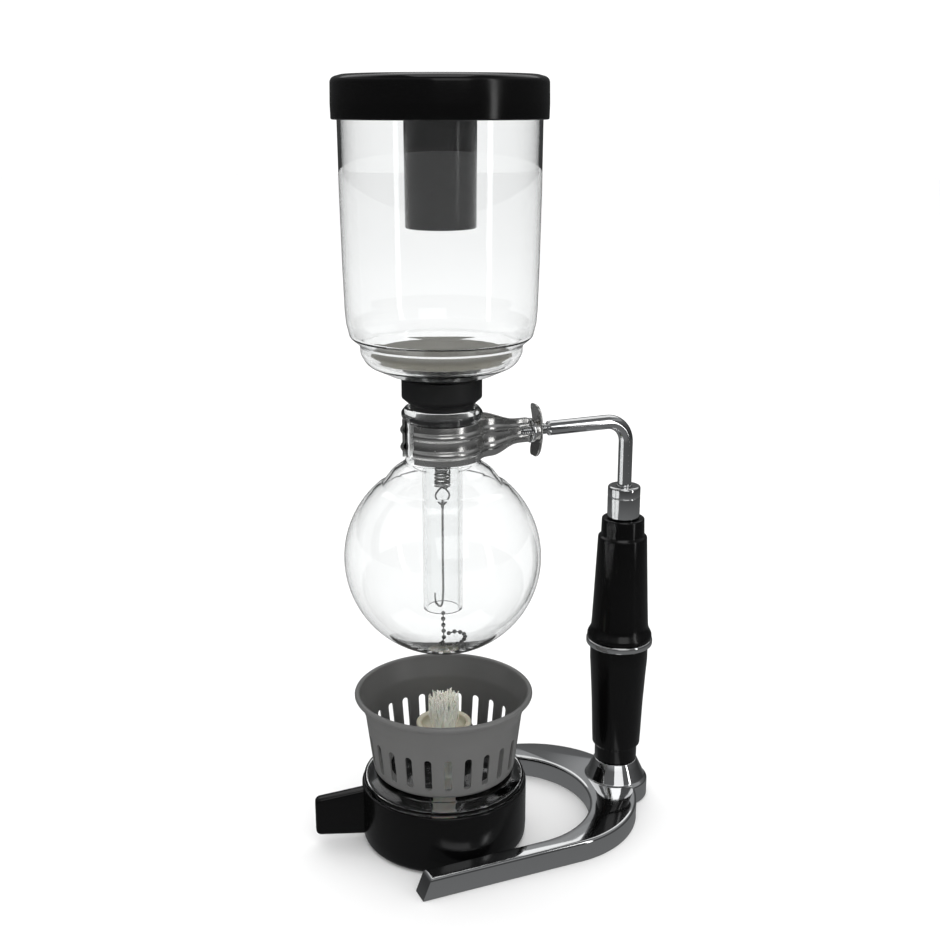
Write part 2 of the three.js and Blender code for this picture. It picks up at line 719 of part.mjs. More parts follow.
// The chain hangs from the hook to the globe's floor and lies on it.
function makeBeadChain() {
  const floor = (x, y) => {
    const reach = GLOBE_R - GLASS - CHAIN_R - GAP;
    return GLOBE_Z - Math.sqrt(reach * reach - x * x - y * y);
  };
  const lying = [
    [-0.5, -1.5],
    [-3, -4],
    [-1, -7.5],
    [4, -8],
    [8, -5],
    [10, 0],
    [8, 4.5],
    [4, 5],
  ];
  const top = STEM_END_Z - 2 * HOOK_WIRE_R - 2 * GAP - CHAIN_R;
  const low = floor(0, 0);
  const path = new THREE.CatmullRomCurve3([
    new THREE.Vector3(0, 0, top),
    new THREE.Vector3(0, 0, low + 0.6 * (top - low)),
    new THREE.Vector3(0, -0.5, low + 0.25 * (top - low)),
    ...lying.map(([x, y]) => new THREE.Vector3(x, y, floor(x, y))),
  ]);
  return along(path, CHAIN_R, 30, 6);
}

// ---- burner ----

function makeLampHolder() {
  const corner = HOLDER_CORNER;
  const inner = HOLDER_R - HOLDER_WALL;
  const floor = FONT_FLOOR_Z - GAP;
  const cup = turned([
    [0, 0],
    ...arc(HOLDER_R - corner, corner, corner, -90, 0, 5),
    [HOLDER_R, HOLDER_H - 0.8],
    [HOLDER_R - 0.6, HOLDER_H],
    [inner, HOLDER_H],
    [inner, floor + 3],
    [inner - 3, floor],
    [0, floor],
  ]);
  const half = HANDLE_THICK / 2;
  const side = across([
    [HOLDER_R - 1.2, 3.4],
    [HOLDER_R + HANDLE_REACH, 4.8],
    [HOLDER_R + HANDLE_REACH, HOLDER_H - 5.1],
    [HOLDER_R - 1.2, HOLDER_H - 1.7],
  ], -half, half);
  return cup.add(side.rotate([0, 0, HANDLE_DEG]));
}

function makeLampFont() {
  const outside = [
    [0, FONT_FLOOR_Z],
    [FONT_R - 4, FONT_FLOOR_Z],
    [FONT_R, FONT_FLOOR_Z + 4],
    [FONT_R, HOLDER_H],
    [FONT_R + FONT_BULGE, HOLDER_H + 1.2],
    [FONT_R + FONT_BULGE - 0.4, HOLDER_H + 2.6],
    [FONT_R - 1.6, FONT_SEAT_Z - 1.5],
    [FONT_R - 4.4, FONT_SEAT_Z - 0.2],
    [SHIELD_HOLE_R - 0.6, FONT_SEAT_Z],
    [FONT_NECK_R + 6, FONT_SEAT_Z + 2],
    [FONT_NECK_R + 2, FONT_SEAT_Z + 4.4],
    [FONT_NECK_R, FONT_SEAT_Z + 7.4],
    [FONT_NECK_R, FONT_TOP_Z],
  ];
  return turned([...outside, ...insideOf(outside, FONT_WALL)]);
}

function makeWindshield() {
  const wallR = (z) => SHIELD_FOOT_R + SHIELD_TAPER * (z - SHIELD_FLOOR_Z);
  const beadZ = SHIELD_RIM_Z - SHIELD_BEAD_R;
  const flareZ = SHIELD_RIM_Z - 10;
  const beadR = wallR(flareZ) + SHIELD_FLARE;
  const wall = [
    [SHIELD_HOLE_R, SHIELD_FLOOR_Z],
    [SHIELD_FOOT_R, SHIELD_FLOOR_Z],
    [wallR(flareZ), flareZ],
    [beadR - 1.2, beadZ - 2],
  ];
  const shell = turned([
    ...wall,
    ...arc(beadR, beadZ, SHIELD_BEAD_R, -90, 180, 6),
    ...insideOf(wall, SHIELD_WALL),
  ], 2 * SLOTS);
  let slots = null;
  for (let i = 0; i < SLOTS; i++) {
    const bar = block(
      [wallR(SLOT_LOW_Z) - 4, -SLOT_W / 2, SLOT_LOW_Z],
      [wallR(SLOT_HIGH_Z) + 3, SLOT_W / 2, SLOT_HIGH_Z],
    ).rotate([0, 0, SHIELD_TURN_DEG + (i * 360) / SLOTS]);
    slots = slots ? slots.add(bar) : bar;
  }
  return shell.subtract(slots);
}

function makeWickHolder() {
  const sleeve = WICK_BORE_R + 2.4;
  const top = WICK_HOLDER_TOP_Z;
  return turned([
    [WICK_BORE_R, FONT_TOP_Z - 8],
    [sleeve, FONT_TOP_Z - 8],
    [sleeve, FONT_TOP_Z + GAP],
    [WICK_HOLDER_R, FONT_TOP_Z + GAP],
    [WICK_HOLDER_R, top - 1.2],
    [WICK_HOLDER_R - 0.8, top],
    [WICK_CUP_R + 0.6, top],
    [WICK_CUP_R, top - 0.8],
    [WICK_CUP_R - 0.6, FONT_TOP_Z + 3.4],
    [WICK_BORE_R, FONT_TOP_Z + 2.4],
  ]);
}

function makeWick() {
  const foot = FONT_FLOOR_Z + WICK_FOOT_GAP;
  return turned([
    [0, foot],
    [WICK_R - 0.6, foot],
    [WICK_R, foot + 5],
    [WICK_R, WICK_HOLDER_TOP_Z - 1],
    [WICK_TUFT_R, WICK_HOLDER_TOP_Z + 6],
    [WICK_TUFT_R - 0.6, WICK_TOP_Z - 3],
    [WICK_TUFT_R - 3, WICK_TOP_Z],
    [0, WICK_TOP_Z],
  ], SMALL_ROUND);
}

// ---- assembly ----

function assembled(x, ...nodes) {
  const group = new THREE.Group();
  group.position.x = x;
  group.add(...nodes);
  return group;
}

const post = assembled(
  POST_X,
  steel("base_screw", makeBaseScrew()),
  steel("tie_rod", makeTieRod()),
  black("lower_grip", makeLowerGrip()),
  chrome("grip_ring", makeGripRing()),
  black("upper_grip", makeUpperGrip()),
  chrome("ferrule", makeFerrule()),
);

const stand = assembled(
  0,
  chrome("base", makeBase()),
  chrome("bent_rod", makeBentRod()),
  post,
);

const clamp = assembled(
  0,
  chrome("clamp_front_jaw", makeJaw()),
  chrome("clamp_rear_jaw", mirrored(makeJaw())),
  chrome("thrust_collar", makeThrustCollar()),
  chrome("thumb_nut", makeThumbNut()),
);

const brewer = assembled(
  0,
  glass("lower_bowl", makeLowerBowl()),
  glass("upper_bowl", makeUpperBowl()),
  piece("gasket", makeGasket(), 0x161718, 0.6),
  black("lid", makeLid()),
);

const filter = assembled(
  0,
  steel("filter_plate", makeFilterPlate()),
  piece("filter_cloth", makeFilterCloth(), 0x9c9a88, 0.9),
  piece("drawstring", makeDrawstring(), 0xb8b4a4, 0.9),
  steel("filter_stud", makeFilterStud()),
  steel("filter_spring", makeFilterSpring()),
  steel("split_link", makeSplitLink()),
  steel("hook_wire", makeHookWire()),
  steel("bead_chain", makeBeadChain()),
);

const burner = assembled(
  0,
  black("lamp_holder", makeLampHolder()),
  glass("lamp_font", makeLampFont()),
  piece("wick_holder", makeWickHolder(), 0xe4dfcf, 0.4),
  piece("wick", makeWick(), 0xece6d6, 0.95),
  piece("windshield", makeWindshield(), 0x8c8c8a, 0.5, 0.7),
);

const group = new THREE.Group();
group.add(stand, clamp, brewer, filter, burner);

export default group;
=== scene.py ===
"""A siphon coffee maker: stand, neck clamp, two glass bowls, hooked cloth filter and spirit burner.

Lengths in the outlines are millimetres; the scene is in metres. +Z is up along the axis of the bowls and
+X runs from the bowls to the post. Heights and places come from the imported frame.
"""

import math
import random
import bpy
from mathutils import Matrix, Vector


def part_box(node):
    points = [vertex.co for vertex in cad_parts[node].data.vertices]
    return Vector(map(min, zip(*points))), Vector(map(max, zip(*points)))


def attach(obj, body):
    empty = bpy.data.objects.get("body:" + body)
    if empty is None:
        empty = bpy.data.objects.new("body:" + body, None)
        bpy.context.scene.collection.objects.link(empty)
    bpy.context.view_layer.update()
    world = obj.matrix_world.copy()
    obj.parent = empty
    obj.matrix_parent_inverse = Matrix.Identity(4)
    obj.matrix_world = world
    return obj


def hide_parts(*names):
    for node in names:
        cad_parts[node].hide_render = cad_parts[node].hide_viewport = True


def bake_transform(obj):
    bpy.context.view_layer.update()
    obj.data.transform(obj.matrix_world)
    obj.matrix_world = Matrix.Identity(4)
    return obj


bl_info = {
    "name": "Siphon Coffee Maker",
    "version": (1, 0, 0),
    "blender": (4, 5, 0),
    "location": "View3D > Sidebar > Siphon",
    "description": "Builds the pieces of a siphon coffee maker round its packed frame",
    "category": "Add Mesh",
}

import bmesh
import bpy
from bpy.props import FloatProperty, FloatVectorProperty, IntProperty, PointerProperty
from mathutils import Vector

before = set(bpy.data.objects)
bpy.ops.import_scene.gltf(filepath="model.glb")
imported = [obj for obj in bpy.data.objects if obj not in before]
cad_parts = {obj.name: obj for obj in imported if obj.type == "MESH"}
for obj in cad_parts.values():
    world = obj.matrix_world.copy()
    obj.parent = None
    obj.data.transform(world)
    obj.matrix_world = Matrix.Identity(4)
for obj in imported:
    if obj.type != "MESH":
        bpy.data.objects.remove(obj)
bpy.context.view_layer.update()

MM = 0.001
WELD = 2e-6
SHARP = math.radians(50)


# ---- heights and radii of the frame, in millimetres ----


def low(node, axis=2):
    """The lowest coordinate of a CAD node along an axis."""
    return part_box(node)[0][axis] / MM


def high(node, axis=2):
    """The highest coordinate of a CAD node along an axis."""
    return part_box(node)[1][axis] / MM


POST_X = (low("grip_ring", 0) + high("grip_ring", 0)) / 2
ROD_Z = (low("thumb_nut") + high("thumb_nut")) / 2
BAND_LOW = low("clamp_front_jaw")
BAND_TOP = high("clamp_front_jaw")
NECK_R = 15.2
GLOBE_R = 42.3
STEM_R = 8.5
HOLDER_R = 37.0


# ---- sizes and colours that a user can change ----


def length(name, default, text):
    return FloatProperty(name=name, description=text, default=default * MM, unit="LENGTH", precision=5)


def colour(name, default, text):
    return FloatVectorProperty(
        name=name, description=text, default=default, subtype="COLOR", size=3, min=0, max=1
    )


class SiphonSizes(bpy.types.PropertyGroup):
    """Sizes of the details that the pieces carry."""

    glass_wall: length("Glass wall", 1.4, "Wall of the two bowls")
    font_wall: length("Font wall", 1.6, "Wall of the burner's glass font")
    jaw_sheet: length("Jaw sheet", 1.1, "Sheet that the clamp's jaws are pressed from")
    jaw_rib: length("Jaw rib", 0.9, "How far the two pressed ribs stand proud")
    spring_wire: length("Spring wire", 0.42, "Radius of the filter spring's wire")
    spring_pitch: length("Spring pitch", 1.45, "Height of one turn of the filter spring")
    hook_wire: length("Hook wire", 0.5, "Radius of the hook's wire")
    bead: length("Chain bead", 1.0, "Radius of one bead of the chain")
    cloth: length("Cloth", 0.8, "Thickness of the filter cloth")
    shield_sheet: length("Windshield sheet", 0.8, "Sheet of the windshield")
    slot_width: length("Slot width", 3.2, "Width of one slot of the windshield")
    large_steps: IntProperty(name="Steps", description="Steps round a large piece", default=128, min=24)
    small_steps: IntProperty(name="Small steps", description="Steps round a small piece", default=64, min=12)
    slots: IntProperty(name="Slots", description="Slots round the windshield", default=24, min=6)
    pleats: IntProperty(name="Pleats", description="Pleats of the gathered cloth", default=26, min=6)
    strands: IntProperty(name="Strands", description="Cotton strands of the wick's tuft", default=420, min=20)


class SiphonColours(bpy.types.PropertyGroup):
    """Base colours of the finishes."""

    chrome: colour("Chrome", (0.78, 0.785, 0.79), "Polished plating")
    satin: colour("Satin plating", (0.74, 0.735, 0.72), "Jaws and thumb nut")
    steel: colour("Steel", (0.24, 0.24, 0.235), "Drawn wire and pressed sheet")
    black: colour("Black plastic", (0.002, 0.002, 0.0021), "Lid, grips and burner holder")
    rubber: colour("Rubber", (0.0035, 0.0037, 0.004), "Gasket")
    glass: colour("Glass", (0.985, 0.99, 0.99), "Clear glass")
    cloth: colour("Filter cloth", (0.26, 0.245, 0.195), "Flannel of the filter")
    string: colour("String", (0.55, 0.52, 0.44), "Drawstring of the filter")
    ceramic: colour("Ceramic", (0.60, 0.58, 0.46), "Glazed wick holder")
    wick: colour("Wick", (0.95, 0.93, 0.85), "Cotton of the wick")
    grey: colour("Grey coating", (0.165, 0.165, 0.162), "Windshield")


# ---- selecting and finishing ----


def deselect():
    if bpy.context.mode != "OBJECT":
        bpy.ops.object.mode_set(mode="OBJECT")
    bpy.ops.object.select_all(action="DESELECT")


def only(piece):
    deselect()
    piece.select_set(True)
    bpy.context.view_layer.objects.active = piece


def edit(piece, select="SELECT"):
    only(piece)
    bpy.ops.object.mode_set(mode="EDIT")
    bpy.ops.mesh.select_mode(type="VERT")
    bpy.ops.mesh.select_all(action=select)


def done():
    bpy.ops.object.mode_set(mode="OBJECT")


def pick(piece, kind, test):
    """Selects the verts, edges or faces of a piece in edit mode whose place passes a test."""
    modes = {"verts": "VERT", "edges": "EDGE", "faces": "FACE"}
    bpy.ops.mesh.select_all(action="DESELECT")
    bpy.ops.mesh.select_mode(type=modes[kind])
    shape = bmesh.from_edit_mesh(piece.data)
    for item in getattr(shape, kind):
        item.select_set(test(item))
    shape.select_flush_mode()
    bmesh.update_edit_mesh(piece.data)


def add_point(name, place):
    """A new piece that is one vertex, at a place in metres, left in edit mode with the vertex selected."""
    deselect()
    bpy.ops.mesh.primitive_plane_add(size=MM, location=place)
    piece = bpy.context.active_object
    piece.name = name
    piece.data.name = name
    bpy.ops.object.transform_apply(location=True, rotation=True, scale=True)
    edit(piece)
    bpy.ops.mesh.merge(type="CENTER")
    return piece


def pull(step):
    """Extrudes what is selected by a step in metres."""
    bpy.ops.mesh.extrude_region_move(TRANSFORM_OT_translate={"value": tuple(step)})


def trace(points):
    """Extrudes the selected vertex along points in metres, the first being where it is."""
    for start, end in zip(points, points[1:]):
        pull(Vector(end) - Vector(start))


def clean():
    """Merges doubles and turns the faces outward in the piece being edited, and leaves edit mode."""
    bpy.ops.mesh.select_all(action="SELECT")
    bpy.ops.mesh.remove_doubles(threshold=WELD)
    bpy.ops.mesh.normals_make_consistent(inside=False)
    done()


def smooth(piece, degrees=35):
    only(piece)
    bpy.ops.object.shade_smooth_by_angle(angle=math.radians(degrees))


def modify(piece, kind, **values):
    """Adds a modifier, sets it and applies it."""
    only(piece)
    modifier = piece.modifiers.new(kind.title(), kind)
    for key, value in values.items():
        setattr(modifier, key, value)
    bpy.ops.object.modifier_apply(modifier=modifier.name)


def combine(piece, tool, operation):
    """Joins a tool solid to a piece, or cuts it out, and deletes the tool."""
    modify(piece, "BOOLEAN", operation=operation, object=tool, solver="EXACT")
    bpy.data.objects.remove(tool)


def join(name, pieces):
    """Makes one piece of several."""
    deselect()
    for piece in pieces:
        piece.select_set(True)
    bpy.context.view_layer.objects.active = pieces[0]
    bpy.ops.object.join()
    pieces[0].name = name
    return pieces[0]


def put(piece, location=(0, 0, 0), rotation=(0, 0, 0), scale=(1, 1, 1)):
    """Moves, turns and scales a piece, in millimetres and degrees, and applies it to the mesh."""
    piece.location = Vector(location) * MM
    piece.rotation_euler = [math.radians(angle) for angle in rotation]
    piece.scale = scale
    only(piece)
    bpy.ops.object.transform_apply(location=True, rotation=True, scale=True)


def paint(piece, finish):
    piece.data.materials.clear()
    piece.data.materials.append(finish_of(finish))


def hand_over(piece, finish, body, node):
    """Gives a finished piece its finish and, unless it blends, its body, and hides the CAD node that it
    stands for.
    """
    paint(piece, finish)
    if body:
        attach(piece, body)
    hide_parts(node)


def repeated(name, master, moves):
    """One piece of a master's copies, each put at a place in millimetres and turned about Z in degrees."""
    copies = []
    for place, turn in moves:
        copy = master.copy()
        copy.data = master.data.copy()
        bpy.context.scene.collection.objects.link(copy)
        copy.location = Vector(place) * MM
        copy.rotation_euler.z = math.radians(turn)
        copies.append(copy)
    bpy.data.objects.remove(master)
    piece = join(name, copies)
    only(piece)
    bpy.ops.object.transform_apply(location=True, rotation=True, scale=True)
    return piece


# ---- outlines ----


def rounded(points, steps=5):
    """An outline of (radius, height) points, rounded where a point has a third number, its radius."""
    out = []
    last = len(points) - 1
    for i, point in enumerate(points):
        here = Vector(point[:2])
        radius = point[2] if len(point) > 2 else 0
        if radius == 0 or i in (0, last):
            out.append(tuple(here))
            continue
        before = Vector(points[i - 1][:2]) - here
        after = Vector(points[i + 1][:2]) - here
        half = before.angle(after) / 2
        if half > math.radians(89.5):
            out.append(tuple(here))
            continue
        reach = min(radius / math.tan(half), 0.48 * before.length, 0.48 * after.length)
        radius = reach * math.tan(half)
        centre = here + (before.normalized() + after.normalized()).normalized() * radius / math.sin(half)
        start = here + before.normalized() * reach - centre
        end = here + after.normalized() * reach - centre
        span = start.angle_signed(end)
        for k in range(steps + 1):
            turn = -span * k / steps
            x = start.x * math.cos(turn) - start.y * math.sin(turn)
            y = start.x * math.sin(turn) + start.y * math.cos(turn)
            out.append((centre.x + x, centre.y + y))
    return out


def arc(radius, centre, start, end, steps, centre_r=0.0):
    """Points of an arc about (centre_r, centre), between two angles in degrees."""
    angles = [math.radians(start + (end - start) * i / steps) for i in range(steps + 1)]
    return [(centre_r + radius * math.cos(a), centre + radius * math.sin(a)) for a in angles]


def inside_of(outline, wall):
    """The outline moved in by a wall, from its end back to its start; the inside is on its left."""
    left = []
    for a, b in zip(outline, outline[1:]):
        step = Vector(b[:2]) - Vector(a[:2])
        left.append(Vector((-step.y, step.x)).normalized())
    moved = []
    for i, point in enumerate(outline):
        a = left[max(i - 1, 0)]
        b = left[min(i, len(left) - 1)]
        shift = (a + b) * (wall / (1 + a.dot(b)))
        radius = 0 if point[0] == 0 else point[0] + shift.x
        corner = max(point[2] * 0.8, 0.3) if len(point) > 2 and point[2] else 0
        moved.append((radius, point[1] + shift.y, corner))
    return moved[::-1]


def sweep(steps, degrees, centre, axis):
    """Spins what is selected about an axis, in degrees; the operator itself counts them the other way."""
    bpy.ops.mesh.spin(steps=steps, angle=math.radians(-degrees), center=centre, axis=axis)


def turned(name, outline, steps, angle=35):
    """A piece turned about Z from an outline of (radius, height) points in millimetres.

    An outline that doesn't start on the axis closes on itself.
    """
    points = [Vector((r, 0, z)) * MM for r, z in outline]
    if outline[0][0] > 0:
        points.append(points[0])
    piece = add_point(name, points[0])
    trace(points)
    bpy.ops.mesh.select_all(action="SELECT")
    sweep(steps, 360, (0, 0, 0), (0, 0, 1))
    clean()
    smooth(piece, angle)
    return piece


def slab(name, outline, step):
    """A face with an outline of points in millimetres, pulled by a step; it is left in edit mode."""
    points = [Vector(point) * MM for point in outline]
    piece = add_point(name, points[0])
    trace([*points, points[0]])
    bpy.ops.mesh.select_all(action="SELECT")
    bpy.ops.mesh.remove_doubles(threshold=WELD)
    bpy.ops.mesh.select_mode(type="EDGE")
    bpy.ops.mesh.select_all(action="SELECT")
    bpy.ops.mesh.edge_face_add()
    bpy.ops.mesh.select_all(action="SELECT")
    pull(Vector(step) * MM)
    return piece


def wires(name, lines, radius, sides, closed=False):
    """Round wires along lines of points in millimetres; a point's fourth number thins the wire there."""
    curve = bpy.data.curves.new(name, "CURVE")
    curve.dimensions = "3D"
    curve.bevel_depth = radius * MM
    curve.bevel_resolution = max(sides // 4 - 1, 0)
    curve.use_fill_caps = not closed
    for points in lines:
        spline = curve.splines.new("POLY")
        spline.use_cyclic_u = closed
        spline.points.add(len(points) - 1)
        for place, point in zip(spline.points, points):
            place.co = (*(Vector(point[:3]) * MM), 1)
            place.radius = point[3] if len(point) > 3 else 1
    piece = bpy.data.objects.new(name, curve)
    bpy.context.scene.collection.objects.link(piece)
    only(piece)
    bpy.ops.object.convert(target="MESH")
    piece = bpy.context.active_object
    edit(piece)
    clean()
    smooth(piece, 50)
    return piece


def spline_points(points, steps):
    """A smooth line through points: centripetal, so that it doesn't overshoot at close ones."""
    points = [Vector(p) for p in points]
    ends = [points[0] * 2 - points[1], *points, points[-1] * 2 - points[-2]]
    out = []
    for a, b, c, d in zip(ends, ends[1:], ends[2:], ends[3:]):
        knots = [0.0]
        for start, end in ((a, b), (b, c), (c, d)):
            knots.append(knots[-1] + max((end - start).length, 1e-6) ** 0.5)
        t0, t1, t2, t3 = knots
        for i in range(steps):
            t = t1 + (t2 - t1) * i / steps
            p = a * ((t1 - t) / (t1 - t0)) + b * ((t - t0) / (t1 - t0))
            q = b * ((t2 - t) / (t2 - t1)) + c * ((t - t1) / (t2 - t1))
            r = c * ((t3 - t) / (t3 - t2)) + d * ((t - t2) / (t3 - t2))
            p, q = p * ((t2 - t) / (t2 - t0)) + q * ((t - t0) / (t2 - t0)), q * ((t3 - t) / (t3 - t1)) + r * (
                (t - t1) / (t3 - t1)
            )
            out.append(p * ((t2 - t) / (t2 - t1)) + q * ((t - t1) / (t2 - t1)))
    return [*out, points[-1]]


# ---- materials ----


def add_node(tree, kind, inputs=(), **values):
    """A new shader node; each input is a value, or the output that feeds it."""
    node = tree.nodes.new(kind)
    for key, value in values.items():
        setattr(node, key, value)
    for key, value in dict(inputs).items():
        if isinstance(value, bpy.types.NodeSocket):
            tree.links.new(value, node.inputs[key])
        else:
            node.inputs[key].default_value = value
    return node


class Finish:
    """A procedural material, with short calls for the nodes that every finish here uses."""

    def __init__(self, name):
        self.material = bpy.data.materials.new(name)
        self.material.use_nodes = True
        self.tree = self.material.node_tree
        self.shader = self.tree.nodes["Principled BSDF"]
        self.place = self.add("ShaderNodeTexCoord").outputs["Object"]

    def add(self, kind, inputs=(), **values):
        return add_node(self.tree, kind, inputs, **values)

    def stretched(self, scale):
        """Object coordinates scaled by a different amount on each axis."""
        return self.add("ShaderNodeMapping", {"Vector": self.place, "Scale": scale}).outputs[0]

    def noise(self, scale, detail=4.0, rough=0.55, place=None):
        inputs = {"Vector": place or self.place, "Scale": scale, "Detail": detail, "Roughness": rough}
        return self.add("ShaderNodeTexNoise", inputs).outputs["Fac"]

    def spread(self, value, start, end, out_start, out_end):
        """A value moved from one span to another."""
        inputs = {
            "Value": value,
            "From Min": start,
            "From Max": end,
            "To Min": out_start,
            "To Max": out_end,
        }
        return self.add("ShaderNodeMapRange", inputs).outputs["Result"]

    def mix(self, factor, first, second):
        """A colour between two."""
        node = self.add("ShaderNodeMix", {"Factor": factor}, data_type="RGBA")
        for socket in (s for s in node.inputs if s.type == "RGBA"):
            socket.default_value = (*(first if socket.name == "A" else second), 1)
        return next(s for s in node.outputs if s.type == "RGBA")

    def sum(self, first, second, weight):
        scaled = self.add("ShaderNodeMath", {0: second, 1: weight}, operation="MULTIPLY").outputs[0]
        return self.add("ShaderNodeMath", {0: first, 1: scaled}, operation="ADD").outputs[0]

    def bump(self, height, strength, distance):
        inputs = {"Height": height, "Strength": strength, "Distance": distance * MM}
        self.set("Normal", self.add("ShaderNodeBump", inputs).outputs["Normal"])

    def set(self, key, value):
        if isinstance(value, bpy.types.NodeSocket):
            self.tree.links.new(value, self.shader.inputs[key])
        else:
            self.shader.inputs[key].default_value = value

    def colour(self, rgb):
        self.set("Base Color", (*rgb, 1))


def darker(rgb, share):
    return tuple(channel * share for channel in rgb)


def chrome_finish(rgb):
    """Polished plating: faint smudges, tiny pits and hairlines."""
    finish = Finish("chrome")
    smudge = finish.noise(70, 5, 0.6)
    finish.set("Metallic", 1.0)
    finish.set("Base Color", finish.mix(smudge, darker(rgb, 0.94), rgb))
    finish.set("Roughness", finish.spread(smudge, 0.3, 0.75, 0.035, 0.11))
    hairline = finish.noise(900, 2, 0.5, finish.stretched((1, 1, 0.05)))
    ripple = finish.noise(55, 2, 0.5)
    finish.bump(finish.sum(ripple, hairline, 0.06), 0.12, 0.12)
    return finish.material


def steel_finish(rgb):
    """Drawn and pressed steel: fine streaks along Z and duller patches."""
    finish = Finish("steel")
    streak = finish.noise(1600, 3, 0.6, finish.stretched((1, 1, 0.04)))
    patch = finish.noise(240, 4, 0.6)
    finish.set("Metallic", 1.0)
    finish.set("Base Color", finish.mix(patch, darker(rgb, 0.75), rgb))
    finish.set("Roughness", finish.spread(patch, 0.3, 0.7, 0.2, 0.42))
    finish.bump(streak, 0.25, 0.04)
    return finish.material


def black_finish(rgb):
    """Moulded black plastic: orange peel, a dusting and dull handled patches."""
    finish = Finish("black_plastic")
    peel = finish.noise(420, 3, 0.5)
    handled = finish.noise(38, 5, 0.62)
    dust = finish.spread(finish.noise(2600, 2, 0.7), 0.66, 0.8, 0.0, 1.0)
    finish.set("Base Color", finish.mix(dust, rgb, (0.012, 0.012, 0.012)))
    finish.set("Roughness", finish.spread(handled, 0.3, 0.75, 0.12, 0.24))
    finish.set("Specular IOR Level", 0.36)
    finish.bump(peel, 0.1, 0.05)
    return finish.material


def rubber_finish(rgb):
    """Matte moulded rubber with a fine grain and pale bloom."""
    finish = Finish("rubber")
    grain = finish.noise(1500, 4, 0.6)
    bloom = finish.noise(120, 5, 0.6)
    finish.set("Base Color", finish.mix(bloom, rgb, tuple(c * 2.4 for c in rgb)))
    finish.set("Roughness", finish.spread(bloom, 0.3, 0.7, 0.42, 0.62))
    finish.bump(grain, 0.3, 0.05)
    return finish.material


def glass_finish(rgb):
    """Clear blown glass with a very faint waviness, and a green-grey body where it is seen edge-on."""
    finish = Finish("clear_glass")
    finish.colour(rgb)
    finish.set("Roughness", 0.0)
    finish.set("IOR", 1.47)
    finish.set("Transmission Weight", 1.0)
    finish.bump(finish.noise(28, 2, 0.4), 0.05, 0.25)
    body = finish.add("ShaderNodeVolumeAbsorption", {"Color": (0.08, 0.12, 0.11, 1), "Density": 26.0})
    finish.tree.links.new(body.outputs[0], finish.tree.nodes["Material Output"].inputs["Volume"])
    return finish.material


def cloth_finish(rgb):
    """Flannel: a plain weave under a nap of short fibres, with stains of coffee."""
    finish = Finish("filter_cotton")
    weave_x = finish.add("ShaderNodeTexWave", {"Vector": finish.place, "Scale": 420.0}, bands_direction="X")
    weave_y = finish.add("ShaderNodeTexWave", {"Vector": finish.place, "Scale": 420.0}, bands_direction="Y")
    weave = finish.add(
        "ShaderNodeMath", {0: weave_x.outputs["Fac"], 1: weave_y.outputs["Fac"]}, operation="MAXIMUM"
    ).outputs[0]
    nap = finish.noise(1400, 5, 0.7)
    stain = finish.noise(60, 5, 0.6)
    finish.set("Base Color", finish.mix(stain, darker(rgb, 0.72), tuple(c * 1.2 for c in rgb)))
    finish.set("Roughness", 0.95)
    finish.set("Sheen Weight", 0.35)
    finish.set("Sheen Roughness", 0.5)
    finish.bump(finish.sum(nap, weave, 0.5), 0.7, 0.18)
    return finish.material


def string_finish(rgb):
    """Twisted cotton string."""
    finish = Finish("cotton_string")
    fibre = finish.noise(2600, 4, 0.65)
    finish.set("Base Color", finish.mix(fibre, darker(rgb, 0.6), rgb))
    finish.set("Roughness", 0.9)
    finish.bump(fibre, 0.6, 0.1)
    return finish.material


def ceramic_finish(rgb):
    """Glazed stoneware: pale, a little mottled, with pinholes in the glaze."""
    finish = Finish("ceramic")
    mottle = finish.noise(140, 5, 0.6)
    pin = finish.spread(finish.noise(900, 2, 0.6), 0.68, 0.76, 0.0, 1.0)
    finish.set("Base Color", finish.mix(mottle, darker(rgb, 0.86), rgb))
    finish.set("Roughness", finish.spread(mottle, 0.3, 0.7, 0.16, 0.34))
    finish.set("Subsurface Weight", 0.15)
    finish.set("Subsurface Scale", 0.002)
    finish.bump(pin, -0.2, 0.05)
    return finish.material


def wick_finish(rgb):
    """Loose cotton: soft white with fine streaks of fibre."""
    finish = Finish("wick_cotton")
    fibre = finish.noise(1800, 4, 0.65, finish.stretched((1, 1, 0.2)))
    finish.set("Base Color", finish.mix(fibre, darker(rgb, 0.84), rgb))
    finish.set("Roughness", 0.9)
    finish.set("Sheen Weight", 0.3)
    finish.set("Subsurface Weight", 0.2)
    finish.set("Subsurface Scale", 0.001)
    finish.bump(fibre, 0.5, 0.08)
    return finish.material


def grey_finish(rgb):
    """A fine matte grey coating: a sandy grain and rubbed patches."""
    finish = Finish("grey_metal")
    grain = finish.noise(2200, 3, 0.6)
    rubbed = finish.noise(55, 5, 0.6)
    finish.set("Metallic", 0.35)
    finish.set("Base Color", finish.mix(rubbed, darker(rgb, 0.9), tuple(min(c * 1.1, 1) for c in rgb)))
    finish.set("Roughness", finish.spread(rubbed, 0.3, 0.7, 0.36, 0.5))
    finish.bump(grain, 0.16, 0.03)
    return finish.material


def satin_finish(rgb):
    """Plating over a tumbled pressing: softer than the polished kind, with short scratches."""
    finish = Finish("satin_chrome")
    patch = finish.noise(110, 5, 0.6)
    scratch = finish.noise(700, 3, 0.6, finish.stretched((1, 1, 0.12)))
    finish.set("Metallic", 1.0)
    finish.set("Base Color", finish.mix(patch, darker(rgb, 0.86), rgb))
    finish.set("Roughness", finish.spread(patch, 0.3, 0.7, 0.17, 0.3))
    finish.bump(scratch, 0.12, 0.05)
    return finish.material


